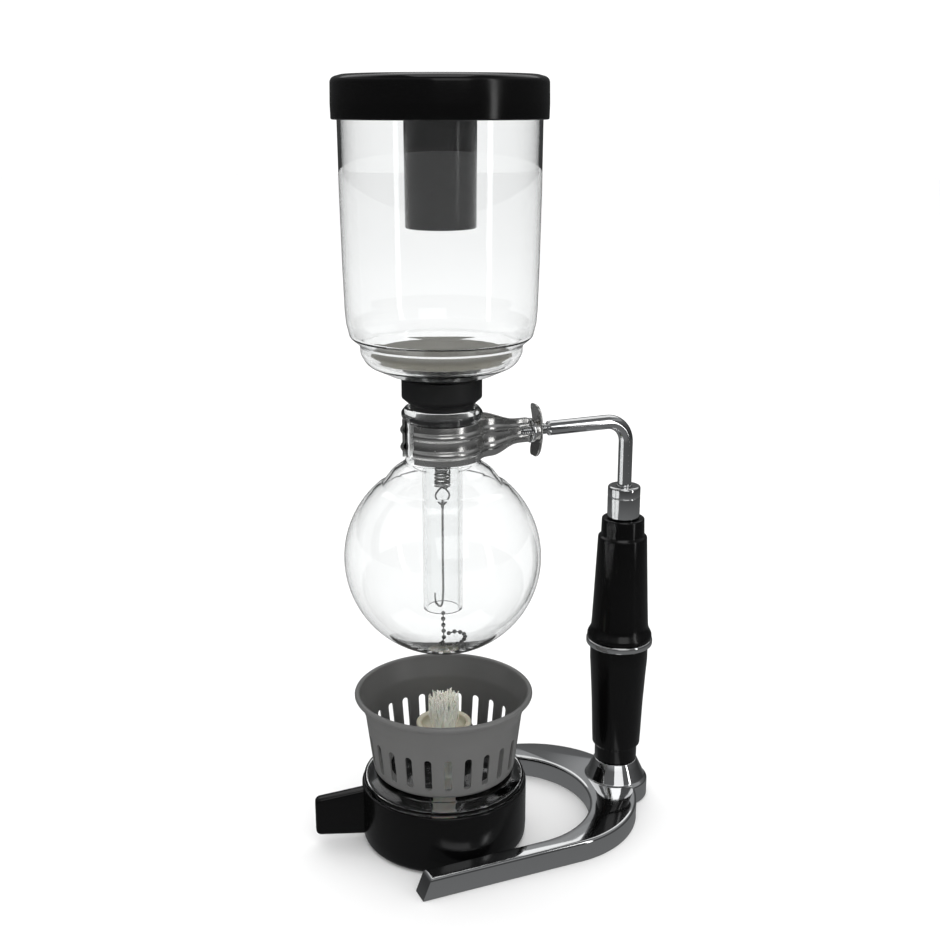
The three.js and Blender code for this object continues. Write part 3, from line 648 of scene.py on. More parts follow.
# Each finish's maker and slot.
FINISHES = {
    "chrome": (chrome_finish, "chrome"),
    "satin": (satin_finish, "chrome"),
    "steel": (steel_finish, "steel"),
    "black": (black_finish, "black_plastic"),
    "rubber": (rubber_finish, "rubber"),
    "glass": (glass_finish, "clear_glass"),
    "cloth": (cloth_finish, "filter_cotton"),
    "string": (string_finish, "cotton_string"),
    "ceramic": (ceramic_finish, "ceramic"),
    "wick": (wick_finish, "wick_cotton"),
    "grey": (grey_finish, "grey_metal"),
}
MADE = {}


def finish_of(name):
    """The material of a finish, made once."""
    if name not in MADE:
        MADE[name] = FINISHES[name][0](getattr(bpy.context.scene.siphon_colours, name))
    return MADE[name]


def sizes():
    return bpy.context.scene.siphon_sizes


class BuildOperator(bpy.types.Operator):
    """Shared by the operators that build pieces."""

    bl_options = {"REGISTER", "UNDO"}

    def execute(self, context):
        self.build(context)
        deselect()
        return {"FINISHED"}


# ---- stage ----

CAMERA_PLACE = (-0.1985, -0.4859, 0.3202)
CAMERA_TURN = (74.32, 0.0, -23.5)
CAMERA_LENS = 49.38
CAMERA_SHIFT_Y = -0.0028
FLOOR_R = 6.0
ROOM_GLOW = 1.12
AIM_Z = 0.17

# What shiny pieces mirror of the room: its brightness from straight below, 0, to straight above, 1.
MIRRORED = (
    (0, 0.17),
    (0.3, 0.16),
    (0.38, 0.08),
    (0.44, 0.04),
    (0.5, 0.05),
    (0.58, 0.08),
    (0.7, 0.13),
    (0.735, 0.32),
    (0.8, 0.3),
    (0.9, 0.12),
    (1, 0.1),
)


class SIPHON_OT_stage(BuildOperator):
    """The pale floor, the soft lights and the camera"""

    bl_idname = "siphon.stage"
    bl_label = "Stage"

    def build(self, context):
        self.add_floor()
        self.add_world(context.scene)
        self.add_light("front_box", -100, 28, 2.0, (1.3, 0.95), 1.0)
        self.add_light("side_box", -56, 10, 1.8, (0.2, 1.5), 3.2)
        self.add_light("back_box", 66, 52, 2.0, (3.0, 1.45), 0.8)
        self.add_light("top_box", -112, 84, 1.7, (1.0, 1.0), 1.6)
        camera = bpy.data.objects.new("camera", bpy.data.cameras.new("camera"))
        context.scene.collection.objects.link(camera)
        camera.location = CAMERA_PLACE
        camera.rotation_euler = [math.radians(angle) for angle in CAMERA_TURN]
        camera.data.sensor_width = 36
        camera.data.lens = CAMERA_LENS
        camera.data.shift_y = CAMERA_SHIFT_Y
        camera.data.clip_start = 0.01
        context.scene.camera = camera
        context.scene.view_settings.view_transform = "Standard"

    def add_floor(self):
        deselect()
        bpy.ops.mesh.primitive_circle_add(vertices=96, radius=FLOOR_R, fill_type="NGON", location=(0, 0, 0))
        floor = bpy.context.active_object
        floor.name = "floor"
        finish = Finish("floor")
        away = finish.add("ShaderNodeVectorMath", {0: finish.place}, operation="LENGTH").outputs["Value"]
        # Painted light: the floor colour rises from 0.87 near the bowls to 0.97 from 1 m to 3 m out, making
        # up for the soft boxes' light falling off with distance.
        painted_falloff = finish.spread(away, 1.0, 3.0, 0.0, 1.0)
        finish.set("Base Color", finish.mix(painted_falloff, (0.87, 0.87, 0.87), (0.97, 0.97, 0.97)))
        finish.set("Roughness", 0.7)
        finish.set("Specular IOR Level", 0.2)
        floor.data.materials.append(finish.material)
        floor.visible_glossy = False

    def add_world(self, scene):
        """A white room; what shiny pieces mirror of it is dark grey, so that their edges are drawn."""
        world = bpy.data.worlds.new("studio")
        world.use_nodes = True
        scene.world = world
        tree = world.node_tree
        room = tree.nodes["Background"]
        room.inputs["Color"].default_value = (1, 1, 1, 1)
        room.inputs["Strength"].default_value = ROOM_GLOW
        place = add_node(tree, "ShaderNodeTexCoord").outputs["Generated"]
        rise = add_node(tree, "ShaderNodeSeparateXYZ", {0: place}).outputs["Z"]
        height = add_node(tree, "ShaderNodeMapRange", {"Value": rise, "From Min": -1}).outputs["Result"]
        ramp = add_node(tree, "ShaderNodeValToRGB", {"Fac": height})
        stops = ramp.color_ramp.elements
        for spot, _ in MIRRORED[1:-1]:
            stops.new(spot)
        for stop, (spot, shade) in zip(stops, MIRRORED):
            stop.color = (shade, shade, shade, 1)
        inputs = {"Color": (0.97, 0.985, 1, 1), "Strength": ramp.outputs["Color"]}
        mirrored = add_node(tree, "ShaderNodeBackground", inputs)
        path = add_node(tree, "ShaderNodeLightPath").outputs
        lit = add_node(tree, "ShaderNodeMath", {0: path["Is Diffuse Ray"], 1: 99}, operation="MULTIPLY")
        inputs = {0: path["Glossy Depth"], 1: lit.outputs[0]}
        bounce = add_node(tree, "ShaderNodeMath", inputs, operation="SUBTRACT", use_clamp=True)
        inputs = {"Fac": bounce.outputs[0], 1: room.outputs[0], 2: mirrored.outputs[0]}
        blend = add_node(tree, "ShaderNodeMixShader", inputs)
        tree.links.new(blend.outputs[0], tree.nodes["World Output"].inputs["Surface"])

    def add_light(self, name, azimuth, rise, away, size, glow):
        """A soft box in a direction from the bowls, its glow being the brightness of its face."""
        light = bpy.data.lights.new(name, "AREA")
        light.shape = "RECTANGLE"
        light.size, light.size_y = size
        light.energy = glow * math.pi * size[0] * size[1]
        lamp = bpy.data.objects.new(name, light)
        bpy.context.scene.collection.objects.link(lamp)
        turn, tilt = math.radians(azimuth), math.radians(rise)
        level = away * math.cos(tilt)
        lamp.location = (level * math.cos(turn), level * math.sin(turn), away * math.sin(tilt) + AIM_Z)
        aim = Vector((0, 0, AIM_Z)) - lamp.location
        lamp.rotation_euler = aim.to_track_quat("-Z", "Y").to_euler()


# ---- stand ----


class SIPHON_OT_base(BuildOperator):
    """The cast and plated U-shaped base with the boss that the post stands on"""

    bl_idname = "siphon.base"
    bl_label = "Base"

    THICK = 9.8
    OUTER_R = 48.0
    OUTER_BACK = 43.5
    INNER_R = 39.5
    INNER_BACK = 58.5
    TIP_SLOPE = 4.0
    TOP_ROUND = 1.5
    FOOT_ROUND = 0.4
    FAR_END = -15.0
    BOSS_R = 15.4
    SCREW_HEAD_R = 5.4
    SCREW_R = 3.4

    def build(self, context):
        plate = self.plate()
        top = high("base")
        boss = turned(
            "boss",
            rounded(
                [
                    (0, 0.02),
                    (self.BOSS_R - 0.5, 0.02, 0.5),
                    (self.BOSS_R, 1.0, 0.5),
                    (self.BOSS_R - 0.05, self.THICK - 0.9, 1.3),
                    (14.0, self.THICK + 0.5, 2.0),
                    (11.2, top - 2.4, 5.0),
                    (10.0, top, 0.5),
                    (0, top),
                ],
                8,
            ),
            sizes().small_steps,
        )
        put(boss, (POST_X, 0, 0))
        combine(plate, boss, "UNION")
        for radius, foot, head in ((self.SCREW_HEAD_R, -1, 5), (self.SCREW_R, 3, top + 1)):
            bore = turned("bore", [(0, foot), (radius, foot), (radius, head), (0, head)], 48)
            put(bore, (POST_X, 0, 0))
            combine(plate, bore, "DIFFERENCE")
        smooth(plate, 32)
        hand_over(plate, "chrome", "stand", "base")

    def plate(self):
        """The flat U, its ends sloped back and its edges rounded."""
        outer_x = POST_X - self.OUTER_BACK
        inner_x = POST_X - self.INNER_BACK
        near_end = low("base", 0)
        outline = [
            (near_end, -self.OUTER_R),
            *arc(self.OUTER_R, 0, -90, 90, 48, outer_x),
            (self.FAR_END, self.OUTER_R),
            (self.FAR_END, self.INNER_R),
            *arc(self.INNER_R, 0, 90, -90, 40, inner_x),
            (near_end, -self.INNER_R),
        ]
        piece = slab("cast_base", [(x, y, 0) for x, y in outline], (0, 0, self.THICK))
        top = self.THICK * MM - 1e-6
        for end in (near_end, self.FAR_END):
            pick(piece, "verts", lambda v, e=end: v.co.z > top and abs(v.co.x - e * MM) < 1e-5)
            bpy.ops.transform.translate(value=(self.TIP_SLOPE * MM, 0, 0))
        clean()
        edit(piece)
        pick(piece, "edges", lambda e: all(v.co.z > top for v in e.verts))
        bpy.ops.mesh.bevel(offset=self.TOP_ROUND * MM, segments=5, profile=0.5, affect="EDGES")
        pick(piece, "edges", lambda e: all(v.co.z < 1e-6 for v in e.verts))
        bpy.ops.mesh.bevel(offset=self.FOOT_ROUND * MM, segments=2, profile=0.5, affect="EDGES")
        clean()
        return piece


class SIPHON_OT_post(BuildOperator):
    """The two turned grips, the ring between them and the ferrule on top"""

    bl_idname = "siphon.post"
    bl_label = "Post"

    BORE_R = 3.4
    FERRULE_R = 7.4
    FERRULE_BORE_R = 3.5

    def build(self, context):
        foot = low("lower_grip")
        head = high("lower_grip")
        self.grip(
            "lower_handle",
            "lower_grip",
            [
                (self.BORE_R, foot),
                (9.9, foot, 0.4),
                (9.95, foot + 6.9, 0.9),
                (11.2, foot + 8.0, 0.7),
                (11.5, foot + 14, 20),
                (12.05, foot + 29, 40),
                (12.9, foot + 44, 30),
                (13.4, head - 7, 14),
                (13.45, head, 0.6),
                (self.BORE_R, head),
            ],
        )
        foot = low("upper_grip")
        head = high("upper_grip")
        self.grip(
            "upper_handle",
            "upper_grip",
            [
                (self.BORE_R, foot),
                (15.1, foot, 0.6),
                (14.9, foot + 1.8, 2.0),
                (13.3, foot + 5.0, 6.0),
                (13.05, foot + 9, 10),
                (12.6, foot + 18, 30),
                (11.75, foot + 37, 40),
                (11.2, head - 8.9, 1.0),
                (9.95, head - 8.0, 0.6),
                (9.7, head, 0.7),
                (self.BORE_R, head),
            ],
        )
        low_z, top_z = low("grip_ring"), high("grip_ring")
        outer = (high("grip_ring", 0) - low("grip_ring", 0)) / 2
        self.grip(
            "post_ring",
            "grip_ring",
            [
                (self.BORE_R, low_z),
                (outer, low_z, 0.9),
                (outer, top_z, 0.9),
                (self.BORE_R, top_z),
            ],
            "chrome",
        )
        low_z, top_z = low("ferrule"), high("ferrule")
        self.grip(
            "rod_ferrule",
            "ferrule",
            [
                (self.FERRULE_BORE_R, low_z),
                (self.FERRULE_R, low_z, 0.4),
                (self.FERRULE_R, low_z + 9.6, 0.3),
                (self.FERRULE_R - 0.25, low_z + 10.0, 0.3),
                (self.FERRULE_R, low_z + 10.4, 0.3),
                (self.FERRULE_R, top_z, 1.1),
                (self.FERRULE_BORE_R, top_z, 0.3),
                (self.FERRULE_BORE_R, top_z - 2),
            ],
            "chrome",
        )
        for node in ("tie_rod", "base_screw"):
            paint(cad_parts[node], "steel")

    def grip(self, name, node, outline, finish="black"):
        """One turned piece of the post."""
        piece = turned(name, rounded(outline, 7), sizes().small_steps, 40)
        put(piece, (POST_X, 0, 0))
        hand_over(piece, finish, "stand", node)


class SIPHON_OT_rod(BuildOperator):
    """The bent rod from the post to the clamp, with its threaded end"""

    bl_idname = "siphon.rod"
    bl_label = "Bent rod"

    BEND_R = 10.0
    ROD_R = 3.2
    THREAD_R = 2.4
    PITCH = 1.0
    SHOULDER_X = 49.4
    CHAMFER = 0.6

    def build(self, context):
        start, end = low("bent_rod", 0), low("bent_rod")
        bend_x, bend_z = POST_X - self.BEND_R, ROD_Z - self.BEND_R
        deselect()
        bpy.ops.mesh.primitive_circle_add(
            vertices=sizes().small_steps,
            radius=self.ROD_R * MM,
            fill_type="NGON",
            location=(self.SHOULDER_X * MM, 0, ROD_Z * MM),
            rotation=(0, math.pi / 2, 0),
        )
        piece = bpy.context.active_object
        piece.name = "clamp_rod"
        bpy.ops.object.transform_apply(location=True, rotation=True, scale=True)
        edit(piece)
        bpy.ops.mesh.select_mode(type="FACE")
        bpy.ops.mesh.select_all(action="SELECT")
        pull((self.CHAMFER * MM, 0, 0))
        pull(((bend_x - self.SHOULDER_X - self.CHAMFER) * MM, 0, 0))
        sweep(20, 90, (bend_x * MM, 0, bend_z * MM), (0, 1, 0))
        pull((0, 0, (end - bend_z) * MM))
        pick(piece, "verts", lambda v: v.co.x < (self.SHOULDER_X + 0.1) * MM)
        shrink = (self.ROD_R - self.CHAMFER) / self.ROD_R
        middle = (self.SHOULDER_X * MM, 0, ROD_Z * MM)
        bpy.ops.transform.resize(value=(1, shrink, shrink), center_override=middle)
        clean()
        smooth(piece)
        root_r = self.THREAD_R - 0.5
        thread = [(0, start), (root_r, start)]
        crests = int((self.SHOULDER_X - start - 0.8) / self.PITCH)
        for i in range(crests):
            x = start + 0.4 + i * self.PITCH
            thread += [(root_r, x), (self.THREAD_R, x + 0.42), (self.THREAD_R, x + 0.58)]
        inner = self.SHOULDER_X + 0.3
        thread += [(root_r, self.SHOULDER_X - 0.2), (root_r, inner), (0, inner)]
        stud = turned("stud", thread, 32, 20)
        put(stud, (0, 0, ROD_Z), (0, 90, 0))
        piece = join("clamp_rod", [piece, stud])
        hand_over(piece, "chrome", "stand", "bent_rod")


# ---- clamp ----


class SIPHON_OT_clamp(BuildOperator):
    """The two pressed jaws round the neck, the thrust collar and the thumb nut"""

    bl_idname = "siphon.clamp"
    bl_label = "Clamp"

    MOUTH_DEG = 24.0
    BEND_DEG = 36.0
    BEND_R = 7.0
    ARM_END_H = 10.2
    ARM_STEPS = 14
    SEAT = 0.45
    RIB_IN = 4.4
    RIB_HALF = 1.9
    NUT_BORE_R = 2.8
    WING = 1.1
    WING_BOW = 1.8

    def build(self, context):
        front = self.jaw("front_jaw_strip")
        only(front)
        bpy.ops.object.duplicate()
        rear = bpy.context.active_object
        rear.name = "rear_jaw_strip"
        put(rear, scale=(1, -1, 1))
        edit(rear)
        clean()
        smooth(rear, 30)
        hand_over(front, "satin", "front_jaw", "clamp_front_jaw")
        hand_over(rear, "satin", "rear_jaw", "clamp_rear_jaw")
        self.collar()
        self.nut()

    def jaw(self, name):
        """A pressed strip: an upright profile with two ribs, swept round the neck and out along the arm."""
        sheet = sizes().jaw_sheet / MM
        rib = sizes().jaw_rib / MM
        radius = NECK_R + self.SEAT + sheet / 2
        profile = [(0, BAND_LOW)]
        for centre in (BAND_LOW + self.RIB_IN, BAND_TOP - self.RIB_IN):
            for i in range(-6, 7):
                profile.append((rib * math.cos(math.pi * i / 12) ** 1.6, centre + self.RIB_HALF * i / 6))
        profile.append((0, BAND_TOP))
        start = math.radians(180 + self.MOUTH_DEG)
        out = Vector((math.cos(start), math.sin(start), 0))
        points = [(out * (radius + push) + Vector((0, 0, z))) * MM for push, z in profile]
        piece = add_point(name, points[0])
        trace(points)
        bpy.ops.mesh.select_mode(type="EDGE")
        bpy.ops.mesh.select_all(action="SELECT")
        sweep(44, 180 - self.MOUTH_DEG - self.BEND_DEG, (0, 0, 0), (0, 0, 1))
        bend = math.radians(-self.BEND_DEG)
        reach = (radius + rib + self.BEND_R) * MM
        centre = (reach * math.cos(bend), reach * math.sin(bend), 0)
        sweep(12, self.BEND_DEG - 90, centre, (0, 0, 1))
        self.arm(piece, sheet)
        clean()
        modify(piece, "SOLIDIFY", thickness=sheet * MM, offset=0)
        modify(piece, "BEVEL", width=0.22 * MM, segments=2, limit_method="ANGLE", angle_limit=SHARP)
        edit(piece)
        clean()
        smooth(piece, 30)
        return piece

    def arm(self, piece, sheet):
        """Runs the selected edge out to the arm's end, narrowing it about the rod's height."""
        shape = bmesh.from_edit_mesh(piece.data)
        chosen = [v.co for v in shape.verts if v.select]
        here_x = sum(c.x for c in chosen) / len(chosen) / MM
        here_y = max(c.y for c in chosen) / MM
        end_x = high("clamp_front_jaw", 0)
        end_y = -(0.55 + sheet / 2)
        share = self.ARM_END_H / (BAND_TOP - BAND_LOW)
        height = 1.0
        for i in range(1, self.ARM_STEPS + 1):
            t = i / self.ARM_STEPS
            ease = min(t / 0.7, 1)
            ease = ease * ease * (3 - 2 * ease)
            step_y = (end_y - here_y) * (self.eased(t) - self.eased((i - 1) / self.ARM_STEPS))
            pull(((end_x - here_x) / self.ARM_STEPS * MM, step_y * MM, 0))
            wanted = 1 + (share - 1) * ease
            centre = (0, 0, (ROD_Z + 0.6 * (1 - ease)) * MM)
            bpy.ops.transform.resize(value=(1, 1, wanted / height), center_override=centre)
            height = wanted

    def eased(self, t):
        """Smooth from 0 to 1, done at four fifths of the way."""
        t = min(t / 0.8, 1)
        return t * t * (3 - 2 * t)

    def collar(self):
        start, end = low("thrust_collar", 0), high("thrust_collar", 0)
        outline = [(self.NUT_BORE_R, start), (5.4, start, 0.3), (5.4, end, 0.3), (self.NUT_BORE_R, end)]
        piece = turned("nut_washer", rounded(outline, 4), sizes().small_steps)
        put(piece, (0, 0, ROD_Z), (0, 90, 0))
        hand_over(piece, "chrome", "collar", "thrust_collar")

    def nut(self):
        """A hub and a bowed plate, cut to two round-ended wings."""
        start, end = low("thumb_nut", 0), high("thumb_nut", 0)
        reach = (high("thumb_nut") - low("thumb_nut")) / 2
        half = (high("thumb_nut", 1) - low("thumb_nut", 1)) / 2
        plate = self.bowed_plate(start, reach, half)
        bore_r = self.NUT_BORE_R
        outline = [(bore_r, start), (4.3, start, 0.5), (4.1, end, 0.6), (bore_r, end)]
        hub = turned("hub", rounded(outline, 5), sizes().small_steps, 30)
        put(hub, (0, 0, ROD_Z), (0, 90, 0))
        combine(plate, hub, "UNION")
        bore = turned("bore", [(0, start - 1), (bore_r, start - 1), (bore_r, end + 1), (0, end + 1)], 48)
        put(bore, (0, 0, ROD_Z), (0, 90, 0))
        combine(plate, bore, "DIFFERENCE")
        smooth(plate, 35)
        plate.name = "winged_nut"
        hand_over(plate, "satin", "nut", "thumb_nut")

    def bowed_plate(self, start, reach, half):
        """The wings: a rounded plate whose ends lean back towards the bowls."""
        ends = [(y, reach - half * 0.85 + z) for y, z in arc(half, 0, 0, 180, 20)]
        ends = [(y, min(z, reach)) for y, z in ends]
        outline = [*ends, *[(-y, -z) for y, z in ends]]
        piece = slab("wings", [(start + 0.3, y, ROD_Z + z) for y, z in outline], (self.WING, 0, 0))
        clean()
        for i in range(-11, 12):
            edit(piece)
            place = (0, 0, (ROD_Z + i * reach / 12) * MM)
            bpy.ops.mesh.bisect(plane_co=place, plane_no=(0, 0, 1))
            done()
        for vertex in piece.data.vertices:
            rise = (vertex.co.z / MM - ROD_Z) / reach
            vertex.co.x += self.WING_BOW * (1 - rise * rise) * MM
        modify(piece, "BEVEL", width=0.3 * MM, segments=3, limit_method="ANGLE", angle_limit=SHARP)
        return piece


# ---- glass ----


class SIPHON_OT_lower_bowl(BuildOperator):
    """The round glass globe with its clamped neck and rolled lip"""

    bl_idname = "siphon.lower_bowl"
    bl_label = "Lower bowl"

    def build(self, context):
        wall = sizes().glass_wall / MM
        foot, lip = low("lower_bowl"), high("lower_bowl")
        centre = foot + GLOBE_R
        neck_foot = BAND_LOW - 2.0
        body = [
            *arc(GLOBE_R, centre, -90, 48, 40),
            (25.6, neck_foot - 9.3, 1.6),
            (21.2, neck_foot - 3.6, 9.0),
            (NECK_R + 0.6, neck_foot + 0.2, 2.4),
            (NECK_R, neck_foot + 3.2, 2.0),
        ]
        body[0] = (0, body[0][1])
        lip_low = lip - 5.4
        outline = [
            *body,
            (NECK_R, lip_low, 1.2),
            (NECK_R + 1.75, lip_low + 1.5, 1.3),
            (NECK_R + 1.85, lip_low + 3.4, 1.6),
            (NECK_R + 0.2, lip, 1.0),
            (NECK_R - wall, lip, 0.7),
            *inside_of([*body, (NECK_R, lip - 1.0)], wall),
        ]
        piece = turned("glass_globe", rounded(outline, 6), sizes().large_steps, 60)
        hand_over(piece, "glass", "stand", "lower_bowl")


class SIPHON_OT_upper_bowl(BuildOperator):
    """The glass upper bowl with its stem"""

    bl_idname = "siphon.upper_bowl"
    bl_label = "Upper bowl"

    def build(self, context):
        wall = sizes().glass_wall / MM
        end, rim = low("upper_bowl"), high("upper_bowl")
        floor = high("gasket") + 0.4
        rim_r = 40.7
        outside = [
            (STEM_R, end),
            (STEM_R, floor - 1.0, 3.0),
            (12.0, floor - 0.1, 4.0),
            (20.0, floor + 0.4, 14.0),
            (31.0, floor + 5.5, 9.0),
            (33.35, floor + 10.0, 4.0),
            (33.5, floor + 13.6, 2.2),
            (37.6, floor + 17.0, 2.6),
            (38.9, floor + 22.5, 9.0),
            (39.35, floor + 28.0, 30.0),
            (39.9, floor + 47.4, 90.0),
            (40.4, floor + 75.0, 200.0),
            (rim_r, rim - 0.7),
        ]
        outline = [
            *outside,
            (rim_r, rim, 0.6),
            (rim_r - wall, rim, 0.6),
            *inside_of(outside, wall),
        ]
        piece = turned("glass_upper", rounded(outline, 6), sizes().large_steps, 60)
        hand_over(piece, "glass", "upper", "upper_bowl")


class SIPHON_OT_lid(BuildOperator):
    """The moulded lid with the tube that lets it serve as the upper bowl's stand"""

    bl_idname = "siphon.lid"
    bl_label = "Lid"

    def build(self, context):
        top, skirt, tube_end = high("lid"), high("lid") - 17.0, low("lid")
        outer = high("lid", 0)
        inner = outer - 2.0
        under = top - 3.0
        outline = [
            (0, under),
            (12.4, under, 0.8),
            (12.5, tube_end, 0.5),
            (14.4, tube_end, 0.6),
            (14.6, under, 1.2),
            (inner - 0.2, under, 0.6),
            (inner, skirt, 0.4),
            (outer - 0.15, skirt, 0.7),
            (outer, skirt + 6, 8.0),
            (outer - 0.2, top - 1.2, 2.6),
            (outer - 4.6, top, 3.4),
            (0, top - 0.05),
        ]
        piece = turned("moulded_lid", rounded(outline, 8), sizes().large_steps, 40)
        hand_over(piece, "black", "lid", "lid")


class SIPHON_OT_gasket(BuildOperator):
    """The rubber gasket that seals the upper bowl's stem in the globe's neck"""

    bl_idname = "siphon.gasket"
    bl_label = "Gasket"

    def build(self, context):
        foot, top = low("gasket"), high("gasket")
        flange_r = high("gasket", 0)
        bore, plug = STEM_R + 0.4, 13.3
        flange = top - 8.4
        outline = [
            (bore, foot, 0.3),
            (plug - 1.2, foot, 0.5),
            (plug, foot + 3, 1.0),
            (plug, flange - 2.6, 0.8),
            (plug + 0.5, flange - 2.2, 0.5),
            (plug + 1.2, flange - 2.0, 0.4),
            (flange_r, flange, 0.7),
            (flange_r, top, 0.9),
            (bore + 2.2, top, 0.4),
            (bore, top - 3.4, 0.5),
        ]
        piece = turned("rubber_gasket", rounded([*outline, outline[0]], 5), 96, 40)
        hand_over(piece, "rubber", "upper", "gasket")


# ---- filter ----


class SIPHON_OT_filter(BuildOperator):
    """The cloth filter in the upper bowl, with its drawstring, plate and stud"""

    bl_idname = "siphon.filter"
    bl_label = "Filter"

    CUT_R = 0.047
    MOUTH_R = 10.2

    def build(self, context):
        self.cloth()
        self.drawstring()
        self.stud()
        paint(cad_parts["filter_plate"], "steel")

    def cloth(self):
        """A round cloth drawn over the plate and gathered under it, its pleats deepest at the mouth."""
        thick = sizes().cloth / MM
        top = high("filter_cloth") - thick / 2
        under = low("filter_plate") - 0.4 - thick / 2
        edge = high("filter_cloth", 0) - thick / 2
        middle = (top + under) / 2
        across = [(0, top), *[(edge * share, top) for share in (0.2, 0.4, 0.6, 0.8)]]
        side = [(edge - 1.0, top, 0.0), (edge, middle + 0.5, 0.9), (edge - 0.1, middle - 0.6, 0.9)]
        beneath = [(self.MOUTH_R + (edge - 1.6 - self.MOUTH_R) * i / 10, under) for i in range(10, -1, -1)]
        outline = rounded([*across, *side, *beneath], 4)
        points = [Vector((r, 0, z)) * MM for r, z in outline]
        piece = add_point("flannel_cloth", points[0])
        trace(points)
        bpy.ops.mesh.select_all(action="SELECT")
        sweep(208, 360, (0, 0, 0), (0, 0, 1))
        clean()
        self.pleat(piece, edge, under)
        modify(piece, "SOLIDIFY", thickness=thick * MM, offset=0)
        smooth(piece, 60)
        hand_over(piece, "cloth", "upper", "filter_cloth")

    def pleat(self, piece, edge, under):
        """Moves the cloth's points into pleats beneath, a slight swell at the side and a soft top."""
        draw = random.Random(5)
        phases = [draw.uniform(0, 2 * math.pi) for _ in range(3)]
        count = sizes().pleats
        for vertex in piece.data.vertices:
            radius = math.hypot(vertex.co.x, vertex.co.y) / MM
            turn = math.atan2(vertex.co.y, vertex.co.x)
            wave = math.cos(count * turn + 0.8 * math.sin(3 * turn + phases[0]))
            wave += 0.35 * math.cos((2 * count + 3) * turn + phases[1])
            if vertex.co.z / MM < under + 0.3:
                depth = (1 - (radius - self.MOUTH_R) / (edge - self.MOUTH_R)) ** 1.2
                vertex.co.z -= (0.16 + 0.62 * depth) * (1 + wave) * 0.5 * MM
            elif radius > edge - 1.6:
                swell = 0.12 * wave * MM
                vertex.co.x += swell * math.cos(turn)
                vertex.co.y += swell * math.sin(turn)
            else:
                vertex.co.z += 0.10 * math.sin(5 * turn + phases[2]) * (radius / edge) ** 2 * MM

    def drawstring(self):
        """Two strands twisted round each other in a ring, with a knot and two short ends."""
        radius, strand, twists = 9.1, 0.34, 26
        z = (low("drawstring") + high("drawstring")) / 2
        rings = []
        for side in (0, math.pi):
            points = []
            for i in range(361):
                turn = 2 * math.pi * i / 360
                lean = twists * turn + side
                r = radius + strand * 0.8 * math.cos(lean)
                points.append((r * math.cos(turn), r * math.sin(turn), z + strand * 0.8 * math.sin(lean)))
            rings.append(points[:-1])
        parts = [wires("twist", rings, strand, 8, True)]
        ends = []
        for reach in (2.6, -2.2):
            line = [(radius, 0, z), (radius + 1.4, reach * 0.4, z - 0.5), (radius + 3.2, reach, z - 0.7)]
            ends.append(spline_points(line, 6))
        parts.append(wires("ends", ends, strand * 1.2, 8))
        deselect()
        bpy.ops.mesh.primitive_uv_sphere_add(
            segments=20, ring_count=12, radius=1.0 * MM, location=(radius * MM, 0, (z - 0.1) * MM)
        )
        knot = bpy.context.active_object
        bpy.ops.object.transform_apply(location=True, rotation=True, scale=True)
        parts.append(knot)
        piece = join("twisted_drawstring", parts)
        smooth(piece, 60)
        hand_over(piece, "string", "upper", "drawstring")

    def stud(self):
        """The rivet under the plate that the spring hooks on."""
        foot, top = low("filter_stud"), high("filter_stud")
        outline = [
            (0, foot),
            (1.3, foot, 0.4),
            (1.3, top - 2.4, 0.2),
            (2.2, top - 2.2, 0.3),
            (3.4, top - 1.2, 0.4),
            (3.4, top, 0.2),
            (0, top),
        ]
        piece = turned("rivet_stud", rounded(outline, 4), 40)
        hand_over(piece, "steel", "upper", "filter_stud")


